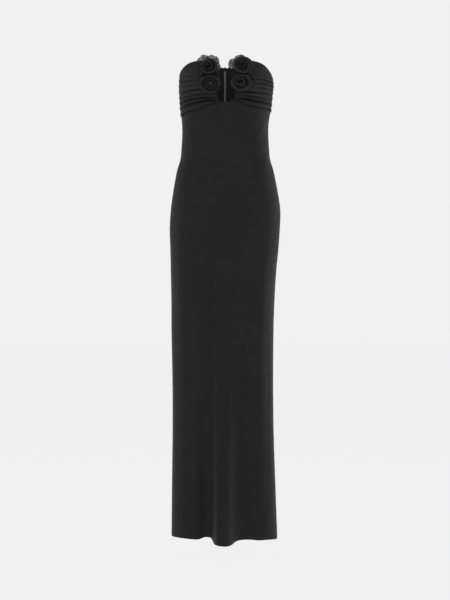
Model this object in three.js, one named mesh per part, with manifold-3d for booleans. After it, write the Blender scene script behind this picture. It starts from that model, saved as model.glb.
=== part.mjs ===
// Strapless column maxi dress with gathered cups, a keyhole front and four rolled roses.
// Millimetres, +Z up, the front faces -Y, the origin lies inside the bust ring.

import * as THREE from 'three';
import { mergeVertices } from 'three/addons/utils/BufferGeometryUtils.js';
import Module from 'manifold-3d';

const wasm = await Module();
wasm.setup();

// Driving sizes of the cloth
const wall = 1.6;
const seamGap = 0.3;
const quarterTurn = Math.PI / 2;

// Body sections from the top edge to the hem: half width, how much wider the right half is, sideways
// shift, and depth before and behind
const bodyRows = [
  { z: 85, half: 120, wider: 2.5, shift: 0, front: 100, back: 90 },
  { z: 50, half: 123, wider: 3.5, shift: 0, front: 104, back: 93 },
  { z: 16, half: 125.2, wider: 6.9, shift: 0, front: 106, back: 95 },
  { z: -27, half: 123.6, wider: 4.8, shift: 0, front: 101, back: 92 },
  { z: -54, half: 121.8, wider: 3.6, shift: 0, front: 96, back: 88 },
  { z: -82, half: 118, wider: 1.9, shift: 0, front: 91, back: 84 },
  { z: -109, half: 116.2, wider: 1.6, shift: 0, front: 88, back: 80 },
  { z: -150, half: 117.8, wider: 1.4, shift: 0, front: 87, back: 82 },
  { z: -190, half: 121.5, wider: 1.4, shift: 0, front: 90, back: 91 },
  { z: -218, half: 130, wider: 1.4, shift: 0, front: 94, back: 100 },
  { z: -272, half: 140, wider: 2.4, shift: 0, front: 98, back: 112 },
  { z: -326, half: 147.4, wider: 3, shift: 0, front: 100, back: 118 },
  { z: -381, half: 148.3, wider: 2.7, shift: -2, front: 100, back: 118 },
  { z: -435, half: 145.7, wider: 2.4, shift: -3, front: 99, back: 114 },
  { z: -490, half: 142.5, wider: 2.2, shift: -5, front: 98, back: 108 },
  { z: -571, half: 139, wider: 2.7, shift: -7, front: 97, back: 104 },
  { z: -653, half: 137.6, wider: 2.5, shift: -8, front: 96, back: 101 },
  { z: -790, half: 135, wider: 4, shift: -8, front: 94, back: 98 },
  { z: -925, half: 136.1, wider: 2.8, shift: -6.5, front: 92, back: 96 },
  { z: -1061, half: 139.1, wider: 2.6, shift: -5, front: 90, back: 96 },
  { z: -1220, half: 142.5, wider: 3, shift: -3, front: 88, back: 98 },
];
const cornerFullness = 0.12;

// Rounding of the cups on each side of the centre front
const cupForm = { across: 62, width: 34, height: -4, rise: 42, lift: 13 };

// The soft forward fold at the centre front, which grows towards the hem, steep on its left and
// gentle on its right
const foldRows = [
  { z: -300, reach: 0 },
  { z: -400, reach: 2 },
  { z: -600, reach: 8 },
  { z: -800, reach: 18 },
  { z: -1000, reach: 36 },
  { z: -1220, reach: 58 },
];
const foldCentre = -7;
const foldLeft = { width: 23, squareness: 7 };
const foldRight = { width: 33, squareness: 3.4 };
const foldHollow = { across: -52, width: 17, share: 0.16 };

// Heights of the top edge, the under-bust seam and the hem, by degrees from the centre front
const topEdge = [
  { turn: 8, left: 49, right: 49 },
  { turn: 20, left: 57, right: 57 },
  { turn: 31, left: 65.5, right: 65.5 },
  { turn: 47, left: 64, right: 63 },
  { turn: 57, left: 59.8, right: 58 },
  { turn: 66, left: 54, right: 50 },
  { turn: 76, left: 46.5, right: 41 },
  { turn: 90, left: 40, right: 31 },
  { turn: 112, left: 46, right: 40 },
  { turn: 140, left: 62, right: 60 },
  { turn: 165, left: 72, right: 72 },
  { turn: 180, left: 74, right: 74 },
];
const bustSeam = [
  { turn: 6, left: -42, right: -39.5 },
  { turn: 14, left: -46, right: -41 },
  { turn: 30, left: -58.5, right: -53 },
  { turn: 50, left: -65, right: -56 },
  { turn: 70, left: -70.5, right: -57.5 },
  { turn: 90, left: -73, right: -60 },
];
const hemEdge = [
  { turn: 0, left: -1218, right: -1218 },
  { turn: 4, left: -1217.2, right: -1218.2 },
  { turn: 8, left: -1215.6, right: -1217.2 },
  { turn: 11, left: -1216.2, right: -1214.2 },
  { turn: 14, left: -1206, right: -1211.6 },
  { turn: 17.5, left: -1204.2, right: -1210.7 },
  { turn: 21, left: -1204.7, right: -1210.2 },
  { turn: 28, left: -1210, right: -1210.3 },
  { turn: 40, left: -1210.3, right: -1213.7 },
  { turn: 55, left: -1209.8, right: -1214.7 },
  { turn: 90, left: -1211.2, right: -1219 },
  { turn: 135, left: -1212, right: -1216 },
  { turn: 180, left: -1212, right: -1212 },
];

// The keyhole between the cups: a U with a fuller lower left corner
const keyhole = { centre: 4, half: 27, straightTo: -20, drop: 28, fullnessLeft: 4, fullnessRight: 2.2 };
const binding = { radius: 1.45, gap: 0.4, top: 46 };
const bridge = { height: 39.2, band: 3.6, thick: 2, knotAcross: [-8.8, 11.2], knotWide: 4.1, knotHigh: 6 };

// Gather lines of each cup, from the lowest up: heights at the keyhole and at the side seam,
// how deep the crease is, and the share of the cup's width over which it runs
const gathersLeft = [
  { inner: -39, outer: -57.7, deep: 4.4, from: 0, to: 1, puff: 2.6 },
  { inner: -34, outer: -43, deep: 4, from: 0, to: 1, puff: 2.4 },
  { inner: -25, outer: -30, deep: 1.4, from: 0.1, to: 1, puff: 2.4 },
  { inner: -13.5, outer: -16, deep: 3.4, from: 0.15, to: 1, puff: 2.2 },
  { inner: -1, outer: 2, deep: 1.3, from: 0.35, to: 1, puff: 2 },
  { inner: 11, outer: 18, deep: 2, from: 0.3, to: 0.9, puff: 1.6 },
  { inner: 29, outer: 30, deep: 1.1, from: 0.4, to: 0.95, puff: 1.2 },
];
const gathersRight = [
  { inner: -35.5, outer: -49, deep: 4.2, from: 0, to: 1, puff: 2.2 },
  { inner: -28, outer: -34, deep: 1.6, from: 0.1, to: 1, puff: 2.4 },
  { inner: -19.5, outer: -14, deep: 2.6, from: 0, to: 1, puff: 2.2 },
  { inner: -6, outer: -4, deep: 1.4, from: 0.3, to: 1, puff: 2 },
  { inner: 5, outer: 4, deep: 2, from: 0.3, to: 1, puff: 1.4 },
  { inner: 14, outer: 12.5, deep: 3, from: 0.3, to: 1, puff: 1.8 },
  { inner: 31, outer: 22, deep: 1.2, from: 0.4, to: 0.95, puff: 1.2 },
];
const gatherCrease = 0.24;
const gatherAtSide = 0.45;
const gatherStart = 0.14;

// Roses: centre across and up, half width and half height, turns, which way they wind, how narrow the
// strip's foot is beside its rim, the radii of the second ring and the eye as shares of the first, how
// far the eye leans across and up, and the radius of the tight bud in the middle, 0 where there is none
const roses = [
  {
    name: 'rose_upper_left', across: -39.8, up: 42.1, wide: 23.2, high: 23.6,
    turns: 2.3, hand: 1, start: 0.6, foot: 0.5, second: 0.66, eye: 0.14, lean: [-6, 0], heart: 0,
  },
  {
    name: 'rose_upper_right', across: 44.9, up: 45.4, wide: 27.7, high: 26.6,
    turns: 2.9, hand: -1, start: 4.7, foot: 0.5, second: 0.52, eye: 0.1, lean: [-3.5, 5], heart: 0,
  },
  {
    name: 'rose_lower_left', across: -40.2, up: 0.1, wide: 30.3, high: 24,
    turns: 2.7, hand: 1, start: 2.78, foot: 0.55, second: 0.7, eye: 0.3, lean: [0, 1], heart: 0.27,
  },
  {
    name: 'rose_lower_right', across: 45.4, up: 2, wide: 30.5, high: 23.8,
    turns: 2.5, hand: -1, start: 3.75, foot: 0.48, second: 0.7, eye: 0.14, lean: [-6, 8], heart: 0,
  },
];
const roseStrip = {
  wall: 1.5, tall: 16, lowering: 5, wave: 1.1, waves: 3,
  settle: 0.08, stepFrom: 0.95, stepTo: 1.3,
};
const roseBase = { thick: 1.6, share: 0.7, sink: 0.8 };
const roseHeart = { middle: 6.3, half: 7.8, around: 14, up: 8 };
const roseShank = { radius: 5, around: 1 };
const roseSeat = 0.35;

// Petals behind the roses: the sweep in degrees from the viewer's right, the reach, how far the rim
// curls forward 10 mm beyond the rose's base, and the layer counted from the cup
const petals = [
  { name: 'petal_left_1', rose: 'rose_upper_left', from: -24, to: 44, reach: 28.5, curl: 1.5, level: 0 },
  { name: 'petal_left_2', rose: 'rose_upper_left', from: 28, to: 112, reach: 34, curl: 2.5, level: 1 },
  { name: 'petal_left_3', rose: 'rose_upper_left', from: 98, to: 172, reach: 37, curl: 3, level: 2 },
  { name: 'petal_left_4', rose: 'rose_upper_left', from: 178, to: 236, reach: 33, curl: 4, level: 2 },
  { name: 'petal_right_1', rose: 'rose_upper_right', from: 138, to: 196, reach: 38, curl: 1.5, level: 0 },
  { name: 'petal_right_2', rose: 'rose_upper_right', from: 66, to: 146, reach: 32.5, curl: 3, level: 1 },
  { name: 'petal_right_3', rose: 'rose_upper_right', from: 10, to: 60, reach: 30, curl: 5, level: 1 },
  { name: 'petal_curl', rose: 'rose_lower_right', from: 10, to: 62, reach: 35, curl: 11, level: 0 },
];
const petalCloth = { wall: 1, root: 0.34, gap: 0.35, beyondBase: 2, curlOver: 10 };

// Centre-back zip: the tape and coil inside, the slider in the small notch at the top, the pull outside
const zip = {
  half: 12, tape: 1, coil: 1.6, coilHalf: 2.2, top: 64, bottom: -330, clear: 0.6,
  notch: 6, notchWidth: 5,
};
const slider = {
  half: 3.4, bodyHigh: 8.4, bodyThick: 2.6, top: 74, clear: 0.45,
  neckHalf: 0.7, neckDrop: 2.4, outerHalf: 2.6, outerDrop: 7, outerThick: 1.4,
  earInner: 1.65, earTop: -0.6, earBottom: -4.4, earReach: 5.2, pinRadius: 0.6, pinReach: 3.7, pinDrop: 2.5,
};
const pull = { ringRadius: 1.75, bore: 1, neckHalf: 1.25, half: 2.6, length: 19, thick: 1 };

// How finely each piece is divided
const detail = {
  across: 14, keyhole: 10, frontRows: 24, frontEase: 1.35, acrossEase: 1.35,
  backColumns: 10, backRows: 24, backEase: 1.25, gatherSteps: 3,
  roseColumns: 34, roseRows: 3, petalColumns: 6, petalRows: 5, zipColumns: [-1, -0.36, -0.18, 0, 0.18, 0.36, 1],
};

// Finishes
const crepe = new THREE.MeshStandardMaterial({ color: 0x232325, roughness: 0.85, metalness: 0 });
const sheer = new THREE.MeshStandardMaterial({ color: 0x2e2e31, roughness: 0.7, metalness: 0 });
const zipGrey = new THREE.MeshStandardMaterial({ color: 0x6a6a6d, roughness: 0.6, metalness: 0 });
const darkMetal = new THREE.MeshStandardMaterial({ color: 0x1b1b1d, roughness: 0.35, metalness: 0.8 });

// Value of a table's column at a place along it: a cubic whose slopes come from neighbouring rows
function readTable(rows, along, column, place) {
  const last = rows.length - 1;
  const direction = Math.sign(rows[last][along] - rows[0][along]);
  let low = 0;
  while (low < last - 1 && direction * (place - rows[low + 1][along]) > 0) {
    low += 1;
  }
  const slopeAt = (index) => {
    const before = rows[Math.max(index - 1, 0)];
    const after = rows[Math.min(index + 1, last)];
    return (after[column] - before[column]) / (after[along] - before[along]);
  };
  const span = rows[low + 1][along] - rows[low][along];
  const share = THREE.MathUtils.clamp((place - rows[low][along]) / span, 0, 1);
  const square = share * share;
  const cube = square * share;
  return rows[low][column] * (2 * cube - 3 * square + 1)
    + rows[low + 1][column] * (3 * square - 2 * cube)
    + slopeAt(low) * span * (cube - 2 * square + share)
    + slopeAt(low + 1) * span * (cube - square);
}

function bell(distance, width, power = 2) {
  return Math.exp(-(Math.abs(distance / width) ** power));
}

// Height of an edge table at an angle in radians, negative on the left
function edgeHeight(table, angle) {
  const turn = THREE.MathUtils.radToDeg(Math.abs(angle));
  return readTable(table, 'turn', angle < 0 ? 'left' : 'right', turn);
}

// Half width of the body on the left or the right of its centre
function halfWidth(toRight, height) {
  return readTable(bodyRows, 'z', 'half', height) + (toRight ? readTable(bodyRows, 'z', 'wider', height) : 0);
}

// Outer face of the smooth body at an angle from the centre front and a height
function bodyPoint(angle, height) {
  const half = halfWidth(Math.sin(angle) > 0, height);
  const shift = readTable(bodyRows, 'z', 'shift', height);
  const before = Math.cos(angle) >= 0;
  const depth = readTable(bodyRows, 'z', before ? 'front' : 'back', height);
  const x = shift + half * Math.sin(angle);
  let y = -depth * Math.cos(angle) * (1 + cornerFullness * Math.sin(angle) ** 2);
  if (before) {
    const rounded = bell(x - cupForm.across, cupForm.width) + bell(x + cupForm.across, cupForm.width);
    y -= cupForm.lift * rounded * bell(height - cupForm.height, cupForm.rise);
    const reach = readTable(foldRows, 'z', 'reach', height);
    const flank = x < foldCentre ? foldLeft : foldRight;
    y -= reach * bell(x - foldCentre, flank.width, flank.squareness);
    y += reach * foldHollow.share * bell(x - foldHollow.across, foldHollow.width);
  }
  return new THREE.Vector3(x, y, height);
}

function angleAcross(across, height) {
  const offset = across - readTable(bodyRows, 'z', 'shift', height);
  return Math.asin(offset / halfWidth(offset > 0, height));
}

// Outward normal of a surface given by two parameters, by small differences
function normalAt(surface, s, t) {
  const step = 1e-4;
  const alongS = surface(s + step, t).sub(surface(s - step, t));
  const alongT = surface(s, t + step).sub(surface(s, t - step));
  return alongS.cross(alongT).normalize();
}

function geometryOf(vertices, triangles) {
  const geometry = new THREE.BufferGeometry();
  geometry.setAttribute('position', new THREE.Float32BufferAttribute(vertices, 3));
  geometry.setIndex(triangles);
  return geometry;
}

// A closed wall: the surface over the given columns and rows, and the same moved in by its thickness
function sheetSolid(surface, columns, rows, thickness, facing = 1) {
  const vertices = [];
  for (const face of [0, 1]) {
    for (const s of columns) {
      for (const t of rows) {
        const point = surface(s, t);
        const depth = typeof thickness === 'function' ? thickness(s, t) : thickness;
        point.addScaledVector(normalAt(surface, s, t), -facing * face * depth);
        vertices.push(point.x, point.y, point.z);
      }
    }
  }
  const across = columns.length;
  const down = rows.length;
  const at = (face, i, j) => face * across * down + i * down + j;
  const triangles = [];
  const quad = (a, b, c, d) => {
    if (facing > 0) {
      triangles.push(a, b, c, a, c, d);
    } else {
      triangles.push(a, c, b, a, d, c);
    }
  };
  for (let i = 0; i < across - 1; i += 1) {
    for (let j = 0; j < down - 1; j += 1) {
      quad(at(0, i, j), at(0, i + 1, j), at(0, i + 1, j + 1), at(0, i, j + 1));
      quad(at(1, i, j), at(1, i, j + 1), at(1, i + 1, j + 1), at(1, i + 1, j));
    }
  }
  for (let i = 0; i < across - 1; i += 1) {
    quad(at(0, i, 0), at(1, i, 0), at(1, i + 1, 0), at(0, i + 1, 0));
    quad(at(0, i, down - 1), at(0, i + 1, down - 1), at(1, i + 1, down - 1), at(1, i, down - 1));
  }
  for (let j = 0; j < down - 1; j += 1) {
    quad(at(0, 0, j), at(0, 0, j + 1), at(1, 0, j + 1), at(1, 0, j));
    quad(at(0, across - 1, j), at(1, across - 1, j), at(1, across - 1, j + 1), at(0, across - 1, j + 1));
  }
  return geometryOf(vertices, triangles);
}

// Conversions to and from a solid that can be joined and cut
function toSolid(geometry) {
  const bare = geometry.clone();
  bare.deleteAttribute('normal');
  bare.deleteAttribute('uv');
  const merged = mergeVertices(bare, 1e-4);
  return new wasm.Manifold(new wasm.Mesh({
    numProp: 3,
    vertProperties: new Float32Array(merged.attributes.position.array),
    triVerts: new Uint32Array(merged.index.array),
  }));
}

function fromSolid(solid) {
  const mesh = solid.getMesh();
  return geometryOf(Array.from(mesh.vertProperties), Array.from(mesh.triVerts));
}

function boxSolid(low, high) {
  const geometry = new THREE.BoxGeometry(high.x - low.x, high.y - low.y, high.z - low.z);
  geometry.translate((low.x + high.x) / 2, (low.y + high.y) / 2, (low.z + high.z) / 2);
  return toSolid(geometry);
}

function easedSteps(count, power) {
  return Array.from({ length: count + 1 }, (_, index) => (index / count) ** power);
}

// The keyhole's outline: height of its lower rim, and place of its side edge
function rimHeight(across, inset = 0) {
  const fullness = across < keyhole.centre ? keyhole.fullnessLeft : keyhole.fullnessRight;
  const share = Math.min(Math.abs(across - keyhole.centre) / (keyhole.half - inset), 1);
  return keyhole.straightTo - (keyhole.drop - inset) * (1 - share ** fullness) ** (1 / fullness);
}

function edgeAcross(side, height, inset = 0) {
  const fullness = side < 0 ? keyhole.fullnessLeft : keyhole.fullnessRight;
  const share = THREE.MathUtils.clamp((keyhole.straightTo - height) / (keyhole.drop - inset), 0, 1);
  return keyhole.centre + side * (keyhole.half - inset) * (1 - share ** fullness) ** (1 / fullness);
}

// Where the under-bust seam runs into the keyhole, by halving the interval
function seamStart(side) {
  let low = keyhole.straightTo - keyhole.drop;
  let high = keyhole.straightTo;
  for (let pass = 0; pass < 40; pass += 1) {
    const middle = (low + high) / 2;
    const angle = angleAcross(edgeAcross(side, middle), middle);
    if (edgeHeight(bustSeam, angle) > middle) {
      low = middle;
    } else {
      high = middle;
    }
  }
  return { height: low, angle: angleAcross(edgeAcross(side, low), low) };
}

const starts = { left: seamStart(-1), right: seamStart(1) };

// Angle that keeps a panel's edge half a seam gap from the side or centre-back line
function gapAngle(height) {
  return seamGap / 2 / readTable(bodyRows, 'z', 'half', height);
}

function sideAngle(side, height) {
  return side * (quarterTurn - gapAngle(height));
}

// Front panel from the under-bust seam and the keyhole's rim to the hem
function frontPoint(angle, share) {
  const inKeyhole = angle > starts.left.angle && angle < starts.right.angle;
  const seam = edgeHeight(bustSeam, angle) - seamGap / 2;
  const across = bodyPoint(angle, starts.left.height).x;
  const top = inKeyhole ? Math.min(rimHeight(across), seam) : seam;
  const hem = edgeHeight(hemEdge, angle);
  return bodyPoint(angle, top + (hem - top) * share);
}

function makeFront() {
  const outward = easedSteps(detail.across, detail.acrossEase);
  const left = outward.map((f) => THREE.MathUtils.lerp(starts.left.angle, sideAngle(-1, 0), f)).reverse();
  const right = outward.map((f) => THREE.MathUtils.lerp(starts.right.angle, sideAngle(1, 0), f));
  const middle = [];
  for (let i = 1; i < detail.keyhole; i += 1) {
    middle.push(THREE.MathUtils.lerp(starts.left.angle, starts.right.angle, i / detail.keyhole));
  }
  const rows = easedSteps(detail.frontRows, detail.frontEase);
  return sheetSolid(frontPoint, [...left, ...middle, ...right], rows, wall, -1);
}

// Back panels, with the small notch at the top of the zip
function backPoint(angle, share) {
  const fromCentre = (Math.PI - Math.abs(angle)) * readTable(bodyRows, 'z', 'half', zip.top);
  const inNotch = THREE.MathUtils.clamp(1 - fromCentre / zip.notchWidth, 0, 1);
  const top = edgeHeight(topEdge, angle) - zip.notch * inNotch ** 2;
  const hem = edgeHeight(hemEdge, angle);
  return bodyPoint(angle, top + (hem - top) * share);
}

function makeBack(side) {
  const columns = easedSteps(detail.backColumns, 1.7).map((f) => {
    const nearCentre = Math.PI - gapAngle(0);
    return side * THREE.MathUtils.lerp(nearCentre, quarterTurn + gapAngle(0), f);
  });
  const rows = easedSteps(detail.backRows, detail.backEase);
  const ordered = side > 0 ? columns.reverse() : columns;
  return sheetSolid(backPoint, ordered, rows, wall, -1);
}

// A gathered cup: its rows follow the gather lines, which crease the wall, with soft puffs between
function cupSurface(side) {
  const gathers = side < 0 ? gathersLeft : gathersRight;
  const start = side < 0 ? starts.left : starts.right;
  const innerAngle = (height) => {
    const held = Math.max(height, start.height);
    return angleAcross(edgeAcross(side, held), held);
  };
  const lineHeight = (line, across) => {
    if (line === 0) {
      const angle = THREE.MathUtils.lerp(start.angle, sideAngle(side, 0), across);
      return edgeHeight(bustSeam, angle) + seamGap / 2;
    }
    if (line > gathers.length) {
      const corner = angleAcross(keyhole.centre + side * keyhole.half, binding.top);
      return edgeHeight(topEdge, THREE.MathUtils.lerp(corner, sideAngle(side, 0), across));
    }
    const gather = gathers[line - 1];
    return THREE.MathUtils.lerp(gather.inner, gather.outer, across);
  };
  const creaseDepth = (line, across) => {
    if (line === 0 || line > gathers.length) {
      return 0;
    }
    const gather = gathers[line - 1];
    const start0 = THREE.MathUtils.smoothstep(across, gather.from - 0.02, gather.from + gatherStart);
    const end0 = 1 - (1 - gatherAtSide) * THREE.MathUtils.smoothstep(across, gather.to - 0.3, gather.to);
    return gather.deep * start0 * end0;
  };
  return (across, row) => {
    const line = THREE.MathUtils.clamp(Math.floor(row), 0, gathers.length);
    const share = row - line;
    const height = THREE.MathUtils.lerp(lineHeight(line, across), lineHeight(line + 1, across), share);
    const angle = THREE.MathUtils.lerp(innerAngle(height), sideAngle(side, 0), across);
    const point = bodyPoint(angle, height);
    const spread = THREE.MathUtils.smoothstep(across, 0, gatherStart)
      * (1 - (1 - gatherAtSide) * THREE.MathUtils.smoothstep(across, 0.7, 1));
    const puff = (line < gathers.length ? gathers[line].puff : 0.6) * spread;
    const raise = puff * Math.sin(Math.PI * THREE.MathUtils.clamp(share, 0, 1))
      - creaseDepth(line, across) * bell(share, gatherCrease)
      - creaseDepth(line + 1, across) * bell(1 - share, gatherCrease);
    const outward = normalAt(bodyPoint, angle, height);
    return point.addScaledVector(outward, raise);
  };
}

function makeCup(side) {
  const gathers = side < 0 ? gathersLeft : gathersRight;
  const columns = easedSteps(detail.across, detail.acrossEase);
  const rows = [];
  for (let row = 0; row <= (gathers.length + 1) * detail.gatherSteps; row += 1) {
    rows.push(row / detail.gatherSteps);
  }
  return sheetSolid(cupSurface(side), columns, rows, wall, side);
}

// Rolled binding round the keyhole
function makeBinding() {
  const inset = binding.gap + binding.radius;
  const points = [];
  const addPoint = (across, height) => {
    const point = bodyPoint(angleAcross(across, height), height);
    points.push(point.addScaledVector(normalAt(bodyPoint, angleAcross(across, height), height), -wall / 2));
  };
  const sideSteps = 5;
  for (let i = 0; i < sideSteps; i += 1) {
    addPoint(edgeAcross(-1, 0, inset), THREE.MathUtils.lerp(binding.top, keyhole.straightTo, i / sideSteps));
  }
  const curveSteps = 16;
  for (let i = 0; i <= curveSteps; i += 1) {
    const sweep = (i / curveSteps) * Math.PI;
    const side = sweep < quarterTurn ? -1 : 1;
    const fullness = side < 0 ? keyhole.fullnessLeft : keyhole.fullnessRight;
    const across = keyhole.centre - Math.sign(Math.cos(sweep)) * (keyhole.half - inset)
      * Math.abs(Math.cos(sweep)) ** (2 / fullness);
    const height = keyhole.straightTo - (keyhole.drop - inset) * Math.abs(Math.sin(sweep)) ** (2 / fullness);
    addPoint(across, height);
  }
  for (let i = 1; i <= sideSteps; i += 1) {
    addPoint(edgeAcross(1, 0, inset), THREE.MathUtils.lerp(keyhole.straightTo, binding.top, i / sideSteps));
  }
  const section = new THREE.Shape();
  section.absarc(0, 0, binding.radius, 0, 2 * Math.PI);
  return new THREE.ExtrudeGeometry(section, {
    steps: 34,
    curveSegments: 4,
    bevelEnabled: false,
    extrudePath: new THREE.CatmullRomCurve3(points),
  });
}

// Short band with two knots across the top of the keyhole
function makeBridge() {
  const reach = keyhole.half - binding.gap - 2 * binding.radius - 0.35;
  const surface = (across, rise) => bodyPoint(angleAcross(across, bridge.height + rise), bridge.height + rise);
  const columns = Array.from({ length: 9 }, (_, i) => keyhole.centre + reach * (i / 4 - 1));
  let solid = toSolid(sheetSolid(surface, columns, [-bridge.band / 2, bridge.band / 2], bridge.thick));
  for (const across of bridge.knotAcross) {
    const knot = new THREE.IcosahedronGeometry(1, 1);
    knot.scale(bridge.knotWide, bridge.knotWide, bridge.knotHigh);
    const seat = surface(across, 0);
    knot.translate(seat.x, seat.y + bridge.thick / 2, seat.z);
    solid = solid.add(toSolid(knot));
  }
  return fromSolid(solid);
}

// Local frame of a rose: a plane that just clears the gathers behind it, and how far below that plane
// the gathers lie at the rose's centre, where it is sewn on
function roseFrame(rose) {
  const angle = angleAcross(rose.across, rose.up);
  const centre = bodyPoint(angle, rose.up);
  const out = normalAt(bodyPoint, angle, rose.up);
  const right = new THREE.Vector3(0, 0, 1).cross(out).normalize();
  const up = out.clone().cross(right).normalize();
  const cup = cupSurface(Math.sign(rose.across));
  const lines = (rose.across < 0 ? gathersLeft : gathersRight).length + 1;
  let lift = 0;
  let atCentre = -Infinity;
  for (let across = 0; across <= 1; across += 0.02) {
    for (let row = 0; row <= lines; row += 0.125) {
      const offset = cup(across, row).sub(centre);
      const sideways = offset.dot(right);
      const upwards = offset.dot(up);
      if (Math.hypot(sideways / rose.wide, upwards / rose.high) < 1) {
        lift = Math.max(lift, offset.dot(out));
      }
      if (Math.hypot(sideways, upwards) < roseShank.radius + roseShank.around) {
        atCentre = Math.max(atCentre, offset.dot(out));
      }
    }
  }
  return { centre: centre.addScaledVector(out, lift), right, up, out, sunk: lift - atCentre };
}

function placeIn(frame, across, up, out) {
  return frame.centre.clone()
    .addScaledVector(frame.right, across)
    .addScaledVector(frame.up, up)
    .addScaledVector(frame.out, out);
}

function petalLevels(rose) {
  const own = petals.filter((petal) => petal.rose === rose.name);
  return own.length ? Math.max(...own.map((petal) => petal.level)) + 1 : 0;
}

function levelOut(level) {
  return roseSeat + level * (petalCloth.wall + petalCloth.gap);
}

// A flat disc about the out axis between two depths
function discOf(radius, from, to, sides) {
  const disc = new THREE.CylinderGeometry(radius, radius, to - from, sides);
  disc.rotateX(quarterTurn);
  disc.translate(0, 0, (from + to) / 2);
  return disc;
}

// Radius of a rolled strip as a share of its rose: the last turn is nearly round, then the strip steps
// inwards to the second ring and winds on to the eye
function openShare(rose, along) {
  const back = (1 - along) * rose.turns;
  const outer = 1 - roseStrip.settle * Math.min(back, 1);
  const inner = THREE.MathUtils.lerp(rose.second, rose.eye, Math.max(back - 1, 0) / (rose.turns - 1));
  const step = THREE.MathUtils.smoothstep(back, roseStrip.stepFrom, roseStrip.stepTo);
  return THREE.MathUtils.lerp(outer, inner, step);
}

// A strip rolled into a spiral that opens outwards, joined to a flat base with a sewn shank behind it
function makeRose(rose) {
  const frame = roseFrame(rose);
  const base = levelOut(petalLevels(rose));
  const strip = (along, rise) => {
    const turn = rose.start + rose.hand * along * rose.turns * 2 * Math.PI;
    const open = openShare(rose, along);
    const spread = open * THREE.MathUtils.lerp(rose.foot, 1, rise * Math.abs(rise) ** 0.4);
    const wave = roseStrip.wave * Math.sin(roseStrip.waves * turn) * along;
    const tall = roseStrip.tall - roseStrip.lowering * along + wave;
    const foot = base + roseBase.thick - roseBase.sink;
    return placeIn(
      frame,
      (rose.wide - roseStrip.wall) * spread * Math.cos(turn) + rose.lean[0] * (1 - open),
      (rose.high - roseStrip.wall) * spread * Math.sin(turn) + rose.lean[1] * (1 - open),
      foot + tall * rise,
    );
  };
  const columns = easedSteps(detail.roseColumns, 0.75);
  const rows = easedSteps(detail.roseRows, 1);
  const rolled = toSolid(sheetSolid(strip, columns, rows, roseStrip.wall, -rose.hand));
  const disc = discOf(1, 0, 1, 24);
  disc.scale(rose.wide * roseBase.share, rose.high * roseBase.share, roseBase.thick);
  disc.translate(0, 0, base);
  const shank = discOf(roseShank.radius, roseSeat - frame.sunk, base + roseBase.thick / 2, 12);
  const place = new THREE.Matrix4().makeBasis(frame.right, frame.up, frame.out).setPosition(frame.centre);
  disc.applyMatrix4(place);
  shank.applyMatrix4(place);
  const solid = rolled.add(toSolid(disc)).add(toSolid(shank));
  if (rose.heart === 0) {
    return fromSolid(solid);
  }
  const heart = new THREE.SphereGeometry(1, roseHeart.around, roseHeart.up);
  heart.rotateX(quarterTurn);
  heart.scale(rose.wide * rose.heart, rose.high * rose.heart, roseHeart.half);
  heart.translate(rose.lean[0], rose.lean[1], base + roseBase.thick + roseHeart.middle);
  heart.applyMatrix4(place);
  return fromSolid(solid.add(toSolid(heart)));
}

// A petal: a fan behind its rose with a rounded rim that curls forward
function makePetal(petal) {
  const rose = roses.find((one) => one.name === petal.rose);
  const frame = roseFrame(rose);
  const surface = (sweep, out) => {
    const degrees = THREE.MathUtils.lerp(petal.from, petal.to, sweep);
    const angle = THREE.MathUtils.degToRad(degrees);
    const rim = petal.reach * (1 - 0.16 * Math.abs(2 * sweep - 1) ** 3);
    const reach = rim * THREE.MathUtils.lerp(petalCloth.root, 1, out);
    const bend = rose.wide * roseBase.share + petalCloth.beyondBase;
    const beyond = Math.max(0, reach - bend) / petalCloth.curlOver;
    return placeIn(
      frame,
      reach * Math.cos(angle),
      reach * Math.sin(angle),
      levelOut(petal.level) + petalCloth.wall + petal.curl * beyond ** 2,
    );
  };
  const columns = easedSteps(detail.petalColumns, 1);
  return sheetSolid(surface, columns, easedSteps(detail.petalRows, 0.8), petalCloth.wall, -1);
}

// Zip tape with its coil as a low ridge, from the back panels' points moved in
function makeZipTape() {
  const halfAt = readTable(bodyRows, 'z', 'half', zip.top);
  const topHere = edgeHeight(topEdge, Math.PI);
  const hemHere = edgeHeight(hemEdge, Math.PI);
  const shareOf = (height) => (height - topHere) / (hemHere - topHere);
  const surface = (across, share) => {
    const fromCentre = -(across * zip.half) / halfAt;
    const angle = across < 0 ? fromCentre - Math.PI : fromCentre + Math.PI;
    return backPoint(angle, share).addScaledVector(normalAt(backPoint, angle, share), wall + zip.clear);
  };
  const below = easedSteps(detail.backRows, detail.backEase)
    .filter((share) => share > shareOf(zip.top) && share < shareOf(zip.bottom));
  const rows = [shareOf(zip.top), ...below];
  const thickness = (across) => {
    return zip.tape + zip.coil * bell(across * zip.half, zip.coilHalf, 4);
  };
  return sheetSolid(surface, detail.zipColumns, rows, thickness);
}

// The closed slider: inner body, neck through the notch, outer plate, two ears and a pin
function sliderSeat() {
  return bodyPoint(Math.PI, slider.top - slider.outerDrop / 2).y;
}

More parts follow.
